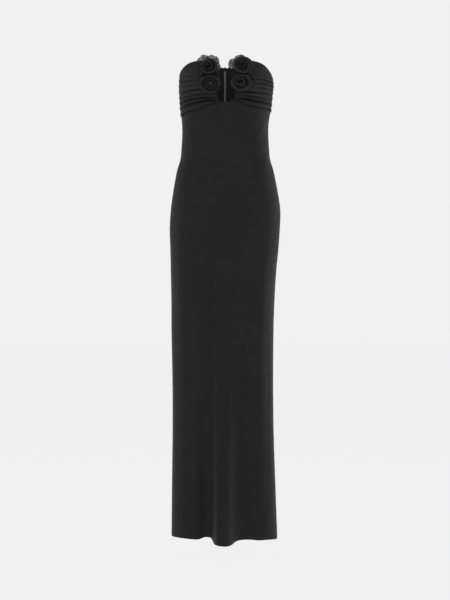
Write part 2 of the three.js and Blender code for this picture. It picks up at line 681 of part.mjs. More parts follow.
function makeSlider() {
  const seat = sliderSeat();
  const innerFace = seat - wall - slider.clear;
  const outerFace = seat + slider.clear;
  const plateFace = outerFace + slider.outerThick;
  const at = (x, y, z) => new THREE.Vector3(x, y, slider.top + z);
  const inner = boxSolid(
    at(-slider.half, innerFace - slider.bodyThick, 1 - slider.bodyHigh),
    at(slider.half, innerFace, 1),
  );
  const neck = boxSolid(
    at(-slider.neckHalf, innerFace - 0.5, -slider.neckDrop),
    at(slider.neckHalf, outerFace + 0.5, 1),
  );
  const plate = boxSolid(
    at(-slider.outerHalf, outerFace, -slider.outerDrop),
    at(slider.outerHalf, plateFace, 1),
  );
  let solid = inner.add(neck).add(plate);
  for (const side of [-1, 1]) {
    const low = Math.min(side * slider.earInner, side * slider.outerHalf);
    const high = Math.max(side * slider.earInner, side * slider.outerHalf);
    solid = solid.add(boxSolid(
      at(low, plateFace - 0.4, slider.earBottom),
      at(high, outerFace + slider.earReach + 0.6, slider.earTop),
    ));
  }
  const pin = new THREE.CylinderGeometry(slider.pinRadius, slider.pinRadius, 2 * slider.earInner + 0.8, 12);
  pin.rotateZ(quarterTurn);
  pin.translate(0, plateFace + slider.pinReach - slider.outerThick, slider.top - slider.pinDrop);
  return fromSolid(solid.add(toSolid(pin)));
}

// Pull tab: a ring round the pin and a long tongue that hangs down
function makePull() {
  const y = sliderSeat() + slider.clear + slider.pinReach;
  const z = slider.top - slider.pinDrop;
  const ring = new THREE.CylinderGeometry(pull.ringRadius, pull.ringRadius, 2 * pull.neckHalf, 20);
  ring.rotateZ(quarterTurn);
  const bore = new THREE.CylinderGeometry(pull.bore, pull.bore, 4 * pull.neckHalf, 16);
  bore.rotateZ(quarterTurn);
  const outline = new THREE.Shape();
  outline.moveTo(-pull.neckHalf, 0);
  outline.lineTo(-pull.neckHalf, -3.4);
  outline.quadraticCurveTo(-pull.half, -6, -pull.half, pull.half - pull.length);
  outline.absarc(0, pull.half - pull.length, pull.half, Math.PI, 2 * Math.PI, false);
  outline.quadraticCurveTo(pull.half, -6, pull.neckHalf, -3.4);
  outline.lineTo(pull.neckHalf, 0);
  outline.closePath();
  const tongue = new THREE.ExtrudeGeometry(outline, { depth: pull.thick, bevelEnabled: false, curveSegments: 6 });
  tongue.translate(0, 0, -pull.thick / 2);
  tongue.rotateX(quarterTurn);
  const solid = toSolid(ring).add(toSolid(tongue)).subtract(toSolid(bore));
  const geometry = fromSolid(solid);
  geometry.translate(0, y, z);
  return geometry;
}

function addPiece(group, name, geometry, material) {
  const mesh = new THREE.Mesh(geometry, material.clone());
  mesh.name = name;
  group.add(mesh);
}

const dress = new THREE.Group();
addPiece(dress, 'front', makeFront(), crepe);
addPiece(dress, 'back_left', makeBack(-1), crepe);
addPiece(dress, 'back_right', makeBack(1), crepe);
addPiece(dress, 'cup_left', makeCup(-1), crepe);
addPiece(dress, 'cup_right', makeCup(1), crepe);
addPiece(dress, 'keyhole_binding', makeBinding(), crepe);
addPiece(dress, 'keyhole_bridge', makeBridge(), crepe);
for (const rose of roses) {
  addPiece(dress, rose.name, makeRose(rose), crepe);
}
for (const petal of petals) {
  addPiece(dress, petal.name, makePetal(petal), sheer);
}
addPiece(dress, 'zip_tape', makeZipTape(), zipGrey);
addPiece(dress, 'zip_slider', makeSlider(), darkMetal);
addPiece(dress, 'zip_pull', makePull(), darkMetal);

export default dress;
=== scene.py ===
"""Looks of a strapless column maxi dress: gathered cups, a keyhole front, rolled roses and a back zip.

Sizes are in millimetres until a mesh is made, and the dress faces -Y with +Z up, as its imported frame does.
"""

import logging
import math
from dataclasses import dataclass, field
from enum import Enum
from typing import Callable

import bpy
import numpy as np
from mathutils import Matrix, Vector


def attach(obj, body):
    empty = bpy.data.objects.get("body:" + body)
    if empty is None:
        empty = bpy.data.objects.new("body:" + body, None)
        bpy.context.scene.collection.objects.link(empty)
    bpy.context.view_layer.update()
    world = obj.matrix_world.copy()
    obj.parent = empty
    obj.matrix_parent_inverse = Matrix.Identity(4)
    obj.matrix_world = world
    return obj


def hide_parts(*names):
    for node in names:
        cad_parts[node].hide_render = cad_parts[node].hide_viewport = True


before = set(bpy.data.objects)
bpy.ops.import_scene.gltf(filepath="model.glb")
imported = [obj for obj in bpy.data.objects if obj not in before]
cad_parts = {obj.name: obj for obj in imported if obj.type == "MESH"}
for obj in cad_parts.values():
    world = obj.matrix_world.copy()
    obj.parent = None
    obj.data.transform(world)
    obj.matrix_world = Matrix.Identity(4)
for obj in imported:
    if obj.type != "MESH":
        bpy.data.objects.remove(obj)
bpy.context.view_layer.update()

Array = np.ndarray
Surface = Callable[[Array, Array], Array]
Part = tuple[Array, Array, Array]
MM = 0.001
QUARTER = math.pi / 2
TURN = 2 * math.pi
LOG = logging.getLogger("dress")


@dataclass(frozen=True)
class Table:
    """Rows of named columns, read between the rows by a smooth cubic.

    The slope at a row is the slope between its two neighbours, or to the one neighbour at an end.
    """

    along: str
    rows: tuple[dict[str, float], ...]

    def read(self, column: str, place: Array | float) -> Array:
        """Value of a column at places along the table.

        Args:
            column: name of the column.
            place: one place, or an array of them, clamped to the table's ends.

        Returns:
            The values, in the shape of place.
        """
        knots = np.array([row[self.along] for row in self.rows], float)
        values = np.array([row[column] for row in self.rows], float)
        if knots[0] > knots[-1]:
            knots, values = knots[::-1], values[::-1]
        before = np.maximum(np.arange(len(knots)) - 1, 0)
        after = np.minimum(np.arange(len(knots)) + 1, len(knots) - 1)
        slopes = (values[after] - values[before]) / (knots[after] - knots[before])
        place = np.asarray(place, float)
        low = np.clip(np.searchsorted(knots, place) - 1, 0, len(knots) - 2)
        span = knots[low + 1] - knots[low]
        share = np.clip((place - knots[low]) / span, 0, 1)
        square, cube = share**2, share**3
        return (
            values[low] * (2 * cube - 3 * square + 1)
            + values[low + 1] * (3 * square - 2 * cube)
            + slopes[low] * span * (cube - 2 * square + share)
            + slopes[low + 1] * span * (cube - square)
        )


def rows_of(along: str, names: tuple[str, ...], *values: tuple[float, ...]) -> Table:
    """Table whose first column is the place along it.

    Args:
        along: name of the first column.
        names: names of the other columns.
        values: one tuple for each row.

    Returns:
        The table.
    """
    return Table(along, tuple(dict(zip((along, *names), row)) for row in values))


def bell(distance: Array, width: Array | float, power: Array | float = 2.0) -> Array:
    """One at no distance, falling to 1/e at the width; a higher power squares its shoulders."""
    return np.exp(-np.abs(distance / width) ** power)


def ease(value: Array, low: float, high: float) -> Array:
    """Zero below low, one above high, with a smooth step between."""
    share = np.clip((value - low) / (high - low), 0, 1)
    return share * share * (3 - 2 * share)


def mix(low: Array | float, high: Array | float, share: Array | float) -> Array:
    """Value a share of the way from low to high."""
    return low + (high - low) * share


def normals_of(surface: Surface, s: Array, t: Array, step: float = 1e-4) -> Array:
    """Unit normals of a surface, as the cross product of its two small differences.

    Args:
        surface: the surface, a function of two parameters.
        s: first parameter on a grid.
        t: second parameter on the same grid.
        step: half the distance between the points compared.

    Returns:
        The normals, on the side that s cross t points to.
    """
    along_s = surface(s + step, t) - surface(s - step, t)
    along_t = surface(s, t + step) - surface(s, t - step)
    normal = np.cross(along_s, along_t)
    return normal / np.maximum(np.linalg.norm(normal, axis=-1, keepdims=True), 1e-12)


class Side(Enum):
    """The viewer's left or right when the front is seen."""

    LEFT = -1
    RIGHT = 1

    @property
    def word(self) -> str:
        """The side's word in the names of pieces and table columns."""
        return self.name.lower()


@dataclass(frozen=True)
class DressForm:
    """The smooth worn form of the dress, and the edges that its panels are cut to."""

    body: Table = rows_of(
        "z", ("half", "wider", "shift", "front", "back"),
        (85, 120, 2.5, 0, 100, 90), (50, 123, 3.5, 0, 104, 93), (16, 125.2, 6.9, 0, 106, 95),
        (-27, 123.6, 4.8, 0, 101, 92), (-54, 121.8, 3.6, 0, 96, 88), (-82, 118, 1.9, 0, 91, 84),
        (-109, 116.2, 1.6, 0, 88, 80), (-150, 117.8, 1.4, 0, 87, 82), (-190, 121.5, 1.4, 0, 90, 91),
        (-218, 130, 1.4, 0, 94, 100), (-272, 140, 2.4, 0, 98, 112), (-326, 147.4, 3, 0, 100, 118),
        (-381, 148.3, 2.7, -2, 100, 118), (-435, 145.7, 2.4, -3, 99, 114), (-490, 142.5, 2.2, -5, 98, 108),
        (-571, 139, 2.7, -7, 97, 104), (-653, 137.6, 2.5, -8, 96, 101), (-790, 135, 4, -8, 94, 98),
        (-925, 136.1, 2.8, -6.5, 92, 96), (-1061, 139.1, 2.6, -5, 90, 96), (-1220, 142.5, 3, -3, 88, 98),
    )
    fold: Table = rows_of("z", ("reach",), (-300, 0), (-400, 2), (-600, 8), (-800, 18), (-1000, 36), (-1220, 58))
    top: Table = rows_of(
        "turn", ("left", "right"),
        (8, 49, 49), (20, 57, 57), (31, 65.5, 65.5), (47, 64, 63), (57, 59.8, 58), (66, 54, 50),
        (76, 46.5, 41), (90, 40, 31), (112, 46, 40), (140, 62, 60), (165, 72, 72), (180, 74, 74),
    )
    bust_seam: Table = rows_of(
        "turn", ("left", "right"),
        (6, -42, -39.5), (14, -46, -41), (30, -58.5, -53), (50, -65, -56), (70, -70.5, -57.5), (90, -73, -60),
    )
    hem: Table = rows_of(
        "turn", ("left", "right"),
        (0, -1218, -1218), (4, -1217.2, -1218.2), (8, -1215.6, -1217.2), (11, -1216.2, -1214.2),
        (14, -1206, -1211.6), (17.5, -1204.2, -1210.7), (21, -1204.7, -1210.2), (28, -1210, -1210.3),
        (40, -1210.3, -1213.7), (55, -1209.8, -1214.7), (90, -1211.2, -1219), (135, -1212, -1216),
        (180, -1212, -1212),
    )
    wall: float = 1.6
    gap: float = 0.3
    corner_fullness: float = 0.12
    cup_across: float = 62
    cup_width: float = 34
    cup_height: float = -4
    cup_rise: float = 42
    cup_lift: float = 13
    fold_centre: float = -7
    fold_widths: tuple[float, float] = (23, 33)
    fold_squareness: tuple[float, float] = (7, 3.4)
    hollow_across: float = -52
    hollow_width: float = 17
    hollow_share: float = 0.16

    def half_width(self, to_right: Array, height: Array) -> Array:
        """Half width on the left or the right of the form's centre."""
        return self.body.read("half", height) + np.where(to_right, self.body.read("wider", height), 0)

    def point(self, angle: Array, height: Array) -> Array:
        """Outer face of the smooth form.

        The section is an ellipse with its own depth before and behind, filled out a little at its
        corners. A bell on each side rounds the cups, and a square-shouldered bell at the centre front,
        steep on its left and gentle on its right, makes the forward fold, with a hollow beside it.

        Args:
            angle: radians from the centre front, negative on the left.
            height: height in millimetres.

        Returns:
            Points in millimetres.
        """
        half = self.half_width(np.sin(angle) > 0, height)
        shift = self.body.read("shift", height)
        before = np.cos(angle) >= 0
        depth = np.where(before, self.body.read("front", height), self.body.read("back", height))
        x = shift + half * np.sin(angle)
        y = -depth * np.cos(angle) * (1 + self.corner_fullness * np.sin(angle) ** 2)
        rounded = bell(x - self.cup_across, self.cup_width) + bell(x + self.cup_across, self.cup_width)
        forward = self.cup_lift * rounded * bell(height - self.cup_height, self.cup_rise)
        reach = self.fold.read("reach", height)
        offset = x - self.fold_centre
        width = np.where(offset < 0, *self.fold_widths)
        forward += reach * bell(offset, width, np.where(offset < 0, *self.fold_squareness))
        forward -= reach * self.hollow_share * bell(x - self.hollow_across, self.hollow_width)
        return np.stack([x, y - np.where(before, forward, 0), np.broadcast_to(height, x.shape)], axis=-1)

    def outward(self, angle: Array, height: Array) -> Array:
        """Outward unit normals of the smooth form."""
        return normals_of(self.point, angle, height)

    def edge(self, table: Table, angle: Array) -> Array:
        """Height of a cut edge at an angle in radians, from its left or right column."""
        turn = np.degrees(np.abs(angle))
        return np.where(angle < 0, table.read("left", turn), table.read("right", turn))

    def angle_across(self, across: Array, height: Array) -> Array:
        """Angle at which the front of the form reaches a place across the dress."""
        offset = across - self.body.read("shift", height)
        return np.arcsin(np.clip(offset / self.half_width(offset > 0, height), -1, 1))

    def gap_angle(self) -> float:
        """Half of a seam's gap, as an angle."""
        return self.gap / 2 / float(self.body.read("half", 0.0))


FORM = DressForm()


@dataclass(frozen=True)
class Keyhole:
    """The U-shaped opening between the cups."""

    centre: float = 4
    half: float = 27
    straight_to: float = -20
    drop: float = 28
    fullness_left: float = 4
    fullness_right: float = 2.2

    def fullness(self, left: Array | bool) -> Array:
        """Power of the corner's curve on the left or the right."""
        return np.where(left, self.fullness_left, self.fullness_right)

    def rim_height(self, across: Array) -> Array:
        """Height of the lower rim: a rounded corner whose power differs left and right."""
        power = self.fullness(across < self.centre)
        share = np.minimum(np.abs(across - self.centre) / self.half, 1)
        return self.straight_to - self.drop * (1 - share**power) ** (1 / power)

    def edge_across(self, side: Side, height: Array, inset: float = 0.0) -> Array:
        """Place across of a side edge at a height, the same curve read the other way."""
        power = float(self.fullness(side is Side.LEFT))
        share = np.clip((self.straight_to - height) / (self.drop - inset), 0, 1)
        return self.centre + side.value * (self.half - inset) * (1 - share**power) ** (1 / power)

    def seam_start(self, side: Side) -> tuple[float, float]:
        """Where the under-bust seam runs into the keyhole, found by halving an interval.

        Args:
            side: which side of the keyhole.

        Returns:
            The height and the angle of the meeting point.
        """
        low, high = self.straight_to - self.drop, self.straight_to
        for _ in range(40):
            middle = (low + high) / 2
            angle = FORM.angle_across(self.edge_across(side, middle), middle)
            if FORM.edge(FORM.bust_seam, angle) > middle:
                low = middle
            else:
                high = middle
        return low, float(FORM.angle_across(self.edge_across(side, low), low))


KEYHOLE = Keyhole()
STARTS = {side: KEYHOLE.seam_start(side) for side in Side}
ROUND = 130.0
UV_UNIT = 100.0


@dataclass(frozen=True)
class Crease:
    """A soft trough or ridge, placed by millimetres round the dress and by height.

    A place round the dress is its angle from the centre front times a mean radius.
    """

    start: tuple[float, float]
    end: tuple[float, float]
    raised: float
    width: float
    bow: float = 0.0

    def raise_at(self, around: Array, height: Array) -> Array:
        """How far the crease lifts the cloth.

        The line runs from start to end with a parabolic bow. Its section is a bell, and it fades in and
        out over the ends.

        Args:
            around: places round the dress.
            height: heights.

        Returns:
            The rise in millimetres, below zero in a trough.
        """
        run = np.subtract(self.end, self.start)
        length = float(np.hypot(*run))
        along = ((around - self.start[0]) * run[0] + (height - self.start[1]) * run[1]) / length**2
        aside = ((height - self.start[1]) * run[0] - (around - self.start[0]) * run[1]) / length
        aside = aside - self.bow * 4 * along * (1 - along)
        fade = ease(along, -0.05, 0.3) * (1 - ease(along, 0.6, 1.05))
        return self.raised * bell(aside, self.width) * fade


def creases_of(*rows: tuple[float, ...]) -> tuple[Crease, ...]:
    """Creases from a table.

    Args:
        rows: for each crease its start round the dress, start height, end round the dress, end height,
            rise, width and bow.

    Returns:
        The creases, in the same order.
    """
    return tuple(Crease(row[0:2], row[2:4], *row[4:]) for row in rows)


def creased(creases: tuple[Crease, ...], angle: Array, height: Array) -> Array:
    """Sum of the creases' rises at angles and heights."""
    return sum((crease.raise_at(angle * ROUND, height) for crease in creases), np.zeros_like(height))


def spaced(count: int, length: float, rim: float = 0.8) -> Array:
    """Shares from 0 to 1, even along the piece and closer together in its rounded rims.

    Args:
        count: number of even steps.
        length: length of the piece in millimetres.
        rim: radius of its rims.

    Returns:
        The shares.
    """
    near = rim / length * (1 - np.cos(np.linspace(0, QUARTER, 5)))
    return np.concatenate([near[:-1], np.linspace(near[-1], 1 - near[-1], count), 1 - near[-2::-1]])


def grid_faces(rows: int, columns: int, closed: bool = False) -> Array:
    """Four-cornered faces of a grid of points, in the turn of first cross second.

    Args:
        rows: points along the first direction.
        columns: points along the second.
        closed: whether the second direction runs round to its start.

    Returns:
        One row of four point numbers for each face.
    """
    index = np.arange(rows * columns).reshape(rows, columns)
    if closed:
        index = np.concatenate([index, index[:, :1]], axis=1)
    corners = (index[:-1, :-1], index[1:, :-1], index[1:, 1:], index[:-1, 1:])
    return np.stack(corners, axis=-1).reshape(-1, 4)


def mesh_object(name: str, points: Array, faces: Array, uv: Array) -> bpy.types.Object:
    """Smooth mesh from points in millimetres.

    Args:
        name: name of the object and its mesh.
        points: one row for each point.
        faces: one row of four point numbers for each face.
        uv: flat position of each point on its cloth.

    Returns:
        The object, linked to the scene.
    """
    mesh = bpy.data.meshes.new(name)
    mesh.vertices.add(len(points))
    mesh.vertices.foreach_set("co", (points * MM).ravel())
    mesh.loops.add(faces.size)
    mesh.loops.foreach_set("vertex_index", faces.ravel().astype(np.int32))
    mesh.polygons.add(len(faces))
    mesh.polygons.foreach_set("loop_start", np.arange(0, faces.size, 4, dtype=np.int32))
    layer = mesh.uv_layers.new(name="weave")
    layer.uv.foreach_set("vector", uv[faces.ravel()].ravel())
    mesh.validate()
    mesh.update(calc_edges=True)
    mesh.shade_smooth()
    obj = bpy.data.objects.new(name, mesh)
    bpy.context.scene.collection.objects.link(obj)
    return obj


def lengths_along(points: Array, axis: int) -> Array:
    """Length run along one direction of a grid of points, from its first row."""
    steps = np.linalg.norm(np.diff(points, axis=axis), axis=-1)
    start = np.zeros_like(np.take(steps, [0], axis=axis))
    return np.concatenate([start, np.cumsum(steps, axis=axis)], axis=axis)


@dataclass(frozen=True)
class Wall:
    """A closed sheet of cloth: an outer face, the same face moved in by the thickness, and rounded rims."""

    surface: Surface
    facing: int = 1
    thickness: float | Surface = 1.6

    def build(self, name: str, first: Array, second: Array) -> tuple[bpy.types.Object, float]:
        """Mesh of the wall.

        Both faces lie half a thickness from the middle of the cloth. Near a rim that half shrinks as a
        quarter circle does, so the cloth's edge is round.

        Args:
            name: name of the piece.
            first: places along the surface's first parameter.
            second: places along its second.

        Returns:
            The piece, and half of its surface in square metres.
        """
        s, t = np.meshgrid(first, second, indexing="ij")
        outer = self.surface(s, t)
        slope = np.cross(np.gradient(outer, axis=0), np.gradient(outer, axis=1))
        normal = self.facing * slope / np.maximum(np.linalg.norm(slope, axis=-1, keepdims=True), 1e-12)
        thick = self.thickness(s, t) if callable(self.thickness) else np.full(s.shape, self.thickness)
        across, down = lengths_along(outer, 0), lengths_along(outer, 1)
        ends = (across, across[-1:, :] - across, down, down[:, -1:] - down)
        rim = np.clip(np.minimum.reduce(ends) / (thick / 2), 0.02, 1)
        half = thick / 2 * np.sqrt(1 - (1 - rim) ** 2)
        middle = outer - normal * thick[..., None] / 2
        points = np.stack([middle + normal * half[..., None], middle - normal * half[..., None]])
        uv = np.tile(np.stack([across, down], axis=-1).reshape(-1, 2) / UV_UNIT, (2, 1))
        faces = self.faces(*s.shape)
        piece = mesh_object(name, points.reshape(-1, 3), faces, uv)
        area = np.linalg.norm(slope, axis=-1).sum() * MM**2
        LOG.info("%s: %d faces, %.4f square metres", name, len(faces), area)
        return piece, float(area)

    def faces(self, rows: int, columns: int) -> Array:
        """Faces of both sides and of the four rims."""
        outer = grid_faces(rows, columns)
        count = rows * columns
        index = np.arange(count).reshape(rows, columns)
        rims = []
        for edge in (index[:, 0], index[-1, :], index[::-1, -1], index[0, ::-1]):
            rims.append(np.stack([edge[:-1], edge[:-1] + count, edge[1:] + count, edge[1:]], axis=-1))
        faces = np.concatenate([outer, outer[:, ::-1] + count, *rims])
        return faces if self.facing > 0 else faces[:, ::-1]


@dataclass(frozen=True)
class Tube:
    """A round strand along a path, closed at its ends."""

    path: Array
    radius: Array | float
    sides: int = 12
    end_share: float = 0.05

    def build(self, name: str) -> bpy.types.Object:
        """Mesh of the strand.

        Each ring stands across the path's own direction. Its first axis is the part of a fixed direction
        that is square to the path, and the second is square to both.

        Args:
            name: name of the piece.

        Returns:
            The piece.
        """
        points, faces, uv = self.rings()
        return mesh_object(name, points, faces, uv)

    def rings(self) -> Part:
        """Points, faces and flat positions of the strand."""
        along = np.gradient(self.path, axis=0)
        along /= np.linalg.norm(along, axis=1, keepdims=True)
        fixed = np.array([0.0, -1.0, 0.0]) if np.abs(along[:, 1]).max() < 0.95 else np.array([0.31, 0.17, 0.94])
        first = fixed - along * (along @ fixed)[:, None]
        first /= np.linalg.norm(first, axis=1, keepdims=True)
        second = np.cross(along, first)
        turn = np.linspace(0, TURN, self.sides, endpoint=False)
        radius = np.broadcast_to(self.radius, len(self.path)).copy()
        radius[[0, -1]] *= self.end_share
        ring = first[:, None] * np.cos(turn)[None, :, None] + second[:, None] * np.sin(turn)[None, :, None]
        points = self.path[:, None] + ring * radius[:, None, None]
        run = lengths_along(self.path[:, None], 0)
        uv = np.stack(np.broadcast_arrays(run, turn[None] * radius.mean()), axis=-1) / UV_UNIT
        faces = grid_faces(len(self.path), self.sides, closed=True)[:, ::-1]
        return points.reshape(-1, 3), faces, uv.reshape(-1, 2)


def joined(name: str, parts: list[Part]) -> bpy.types.Object:
    """One mesh of several sets of points, faces and flat positions."""
    counts = np.cumsum([0] + [len(points) for points, _, _ in parts])
    faces = [faces + start for (_, faces, _), start in zip(parts, counts)]
    points, uv = np.concatenate([part[0] for part in parts]), np.concatenate([part[2] for part in parts])
    return mesh_object(name, points, np.concatenate(faces), uv)


class Wire:
    """A shader value or colour that takes part in sums and products."""

    def __init__(self, graph: "Graph", socket: bpy.types.NodeSocket) -> None:
        self.graph = graph
        self.socket = socket

    def _with(self, operation: str, other: "Wire | float") -> "Wire":
        """Joins this wire to another or to a number, as numbers where both are, and otherwise as colours."""
        wires = [one for one in (self, other) if isinstance(one, Wire)]
        if all(one.socket.type == "VALUE" for one in wires):
            return self.graph.node("ShaderNodeMath", {"operation": operation}, {0: self, 1: other})
        other = other if isinstance(other, Wire) else (other,) * 3
        return self.graph.node("ShaderNodeVectorMath", {"operation": operation}, {0: self, 1: other})

    def __add__(self, other: "Wire | float") -> "Wire":
        return self._with("ADD", other)

    def __mul__(self, other: "Wire | float") -> "Wire":
        return self._with("MULTIPLY", other)


Colour = tuple[float, float, float]
Setting = Wire | float | tuple[float, ...]


class Graph:
    """A material and the nodes that shade it."""

    def __init__(self, name: str) -> None:
        self.material = bpy.data.materials.new(name)
        self.material.use_nodes = True
        self.tree = self.material.node_tree
        self.tree.nodes.clear()

    def node(
        self, kind: str, settings: dict[str, str | bool], sockets: dict[str | int, Setting], output: int = 0
    ) -> Wire:
        """Adds a node.

        Args:
            kind: node type.
            settings: properties of the node.
            sockets: wires or constants by the socket's name or number.
            output: which output is wanted.

        Returns:
            The output as a wire, or the first input of a node that ends a graph.
        """
        made = self.tree.nodes.new(kind)
        for name, value in settings.items():
            setattr(made, name, value)
        for name, value in sockets.items():
            if isinstance(value, Wire):
                self.tree.links.new(value.socket, made.inputs[name])
            else:
                made.inputs[name].default_value = value
        return Wire(self, made.outputs[output] if len(made.outputs) else made.inputs[0])

    def place(self, kind: str = "Object") -> Wire:
        """Object coordinates, or the cloth's own flat ones."""
        made = self.tree.nodes.new("ShaderNodeTexCoord")
        return Wire(self, made.outputs[kind])

    def noise(self, place: Wire, scale: float, detail: float = 2.0, rough: float = 0.5) -> Wire:
        """Smooth noise between 0 and 1, with features of one over the scale."""
        sockets = {"Vector": place, "Scale": scale, "Detail": detail, "Roughness": rough}
        return self.node("ShaderNodeTexNoise", {}, sockets)

    def ramp(self, value: Wire, low: float, high: float, start: float = 0.0, end: float = 1.0) -> Wire:
        """Value turned from the range low to high into the range start to end, without going past it."""
        sockets = {"Value": value, "From Min": low, "From Max": high, "To Min": start, "To Max": end}
        return self.node("ShaderNodeMapRange", {"clamp": True}, sockets)

    def mixed(self, share: Wire, low: Colour, high: Colour) -> Wire:
        """Colour a share of the way from low to high."""
        made = self.tree.nodes.new("ShaderNodeMix")
        made.data_type = "RGBA"
        named = {one.name: one for one in made.inputs if one.type == "RGBA"}
        self.tree.links.new(share.socket, made.inputs[0])
        for name, value in (("A", low), ("B", high)):
            named[name].default_value = (*value, 1.0)
        return Wire(self, [one for one in made.outputs if one.type == "RGBA"][0])

    def finish(self, surface: dict[str, Setting]) -> bpy.types.Material:
        """Ends the nodes in one surface shader with the given sockets."""
        shader = self.node("ShaderNodeBsdfPrincipled", {}, surface)
        self.node("ShaderNodeOutputMaterial", {}, {"Surface": shader})
        return self.material


def grey(value: float) -> tuple[float, float, float, float]:
    """Opaque grey."""
    return (value, value, value, 1.0)


@dataclass(frozen=True)
class Crepe:
    """Matt black crepe: a fine pebbled grain, a soft bloom of fibre ends and a faint unevenness of tone."""

    name: str = "crepe"
    slot: str = "crepe"
    tone: float = 0.0098
    warmth: float = 1.02
    roughness: float = 0.78
    sheen: float = 0.042
    sheen_roughness: float = 0.42
    sheen_tone: float = 0.55
    grain: float = 1300.0
    grain_height: float = 0.00009
    # Painted shade at a rolled strip's foot and painted light at its rim, as shares of the tone.
    painted_shade_foot_tone: float = 1.0
    painted_light_rim_tone: float = 1.0
    lit_from: float = 11.0

    def material(self) -> bpy.types.Material:
        """Shader of the cloth. A rolled strip can carry painted shade at its foot and a painted highlight at its
        rim.
        """
        graph = Graph(self.name)
        place = graph.place()
        pebble = graph.noise(place, self.grain, 3.0, 0.6)
        broad = graph.noise(place, 9.0, 3.0, 0.5)
        cloud = graph.noise(place, 55.0, 2.0, 0.5)
        share = graph.ramp(broad * 0.6 + cloud * 0.25 + pebble * 0.15, 0.3, 0.7)
        low, high = self.tone * 0.82, self.tone * 1.2
        base = graph.mixed(share, (low, low, low * self.warmth), (high, high, high * self.warmth))
        # Painted shade and light: the base colour darkens towards the strip's foot and lightens towards its rim,
        # up to lit_from millimetres up the strip.
        if self.painted_shade_foot_tone != self.painted_light_rim_tone:
            across = graph.node("ShaderNodeSeparateXYZ", {}, {0: graph.place("UV")}, 1)
            base = base * graph.ramp(across, 0.0, self.lit_from / UV_UNIT, self.painted_shade_foot_tone, self.painted_light_rim_tone)
        bump = graph.node(
            "ShaderNodeBump", {}, {"Strength": 0.6, "Distance": self.grain_height, "Height": pebble}
        )
        return graph.finish({
            "Base Color": base,
            "Roughness": graph.ramp(cloud, 0.3, 0.7, self.roughness - 0.05, self.roughness + 0.06),
            "Specular IOR Level": 0.28,
            "Sheen Weight": self.sheen,
            "Sheen Roughness": self.sheen_roughness,
            "Sheen Tint": grey(self.sheen_tone),
            "Normal": bump,
        })


@dataclass(frozen=True)
class Organza:
    """Sheer black organza: an open net of fine threads, denser where two threads cross."""

    name: str = "organza"
    slot: str = "sheer"
    tone: float = 0.03
    threads: float = 190.0
    open_alpha: float = 0.42
    thread_alpha: float = 0.82
    gathered: float = 1.5
    gathered_to: float = 0.19

    def material(self) -> bpy.types.Material:
        """Shader of the net, whose threads are waves along both directions of the cloth.

        The folds that the gathered root presses into it run out to the rim, where it is most open.
        """
        graph = Graph(self.name)
        place = graph.place("UV")
        waves = []
        for direction in ("X", "Y"):
            settings = {"wave_type": "BANDS", "bands_direction": direction, "wave_profile": "SIN"}
            sockets = {"Vector": place, "Scale": self.threads, "Distortion": 0.4, "Detail": 1.0}
            waves.append(graph.node("ShaderNodeTexWave", settings, sockets, 1))
        net = graph.ramp(waves[0] + waves[1], 0.7, 1.5)
        cloud = graph.noise(place, 24.0, 2.0, 0.6)
        drawn = graph.node("ShaderNodeMapping", {}, {"Vector": place, "Scale": (1.0, 0.12, 1.0)})
        folds = graph.ramp(graph.noise(drawn, 34.0, 2.0, 0.55), 0.34, 0.66)
        outward = graph.node("ShaderNodeSeparateXYZ", {}, {0: place}, 1)
        density = graph.ramp(outward, 0.08, self.gathered_to, self.gathered, 1.0) * (folds * 0.7 + 0.65)
        return graph.finish({
            "Base Color": graph.mixed(cloud, (self.tone * 0.8,) * 3, (self.tone * 1.5,) * 3),
            "Roughness": 0.5,
            "Specular IOR Level": 0.35,
            "Sheen Weight": 0.3,
            "Sheen Roughness": 0.3,
            "Alpha": graph.ramp(net + cloud * 0.5, 0.1, 1.2, self.open_alpha, self.thread_alpha) * density,
        })


@dataclass(frozen=True)
class Twill:
    """Grey zip tape or coil: a fine diagonal weave, or a plain satin plastic."""

    name: str
    slot: str = "zip_tape"
    tone: float = 0.07
    ribs: float = 60.0
    rib_height: float = 0.00012
    roughness: float = 0.85
    gloss: float = 0.12

    def material(self) -> bpy.types.Material:
        """Shader of the band."""
        graph = Graph(self.name)
        settings = {"wave_type": "BANDS", "bands_direction": "DIAGONAL", "wave_profile": "SIN"}
        rib = graph.node("ShaderNodeTexWave", settings, {"Vector": graph.place("UV"), "Scale": self.ribs}, 1)
        bump = graph.node("ShaderNodeBump", {}, {"Strength": 0.7, "Distance": self.rib_height, "Height": rib})
        low, high = self.tone * 0.8, self.tone * 1.1
        return graph.finish({
            "Base Color": graph.mixed(rib, (low,) * 3, (high,) * 3),
            "Roughness": self.roughness,
            "Specular IOR Level": self.gloss,
            "Normal": bump,
        })


@dataclass(frozen=True)
class Metal:
    """Black-lacquered zip metal, with fine handling wear in its gloss."""

    name: str = "zip_metal"
    slot: str = "zip_metal"
    tone: float = 0.02

    def material(self) -> bpy.types.Material:
        """Shader of the slider and the pull."""
        graph = Graph(self.name)
        wear = graph.noise(graph.place(), 900.0, 3.0, 0.6)
        return graph.finish({
            "Base Color": grey(self.tone),
            "Metallic": 0.75,
            "Roughness": graph.ramp(wear, 0.3, 0.7, 0.26, 0.44),
            "Coat Weight": 0.3,
        })


@dataclass(frozen=True)
class Cloth:
    """How a piece of cloth is cut and held: its flat size in metres and what carries it."""

    flat: tuple[float, float]
    held: str
    rests_on: tuple[str, ...] = ()
    area: float | None = None


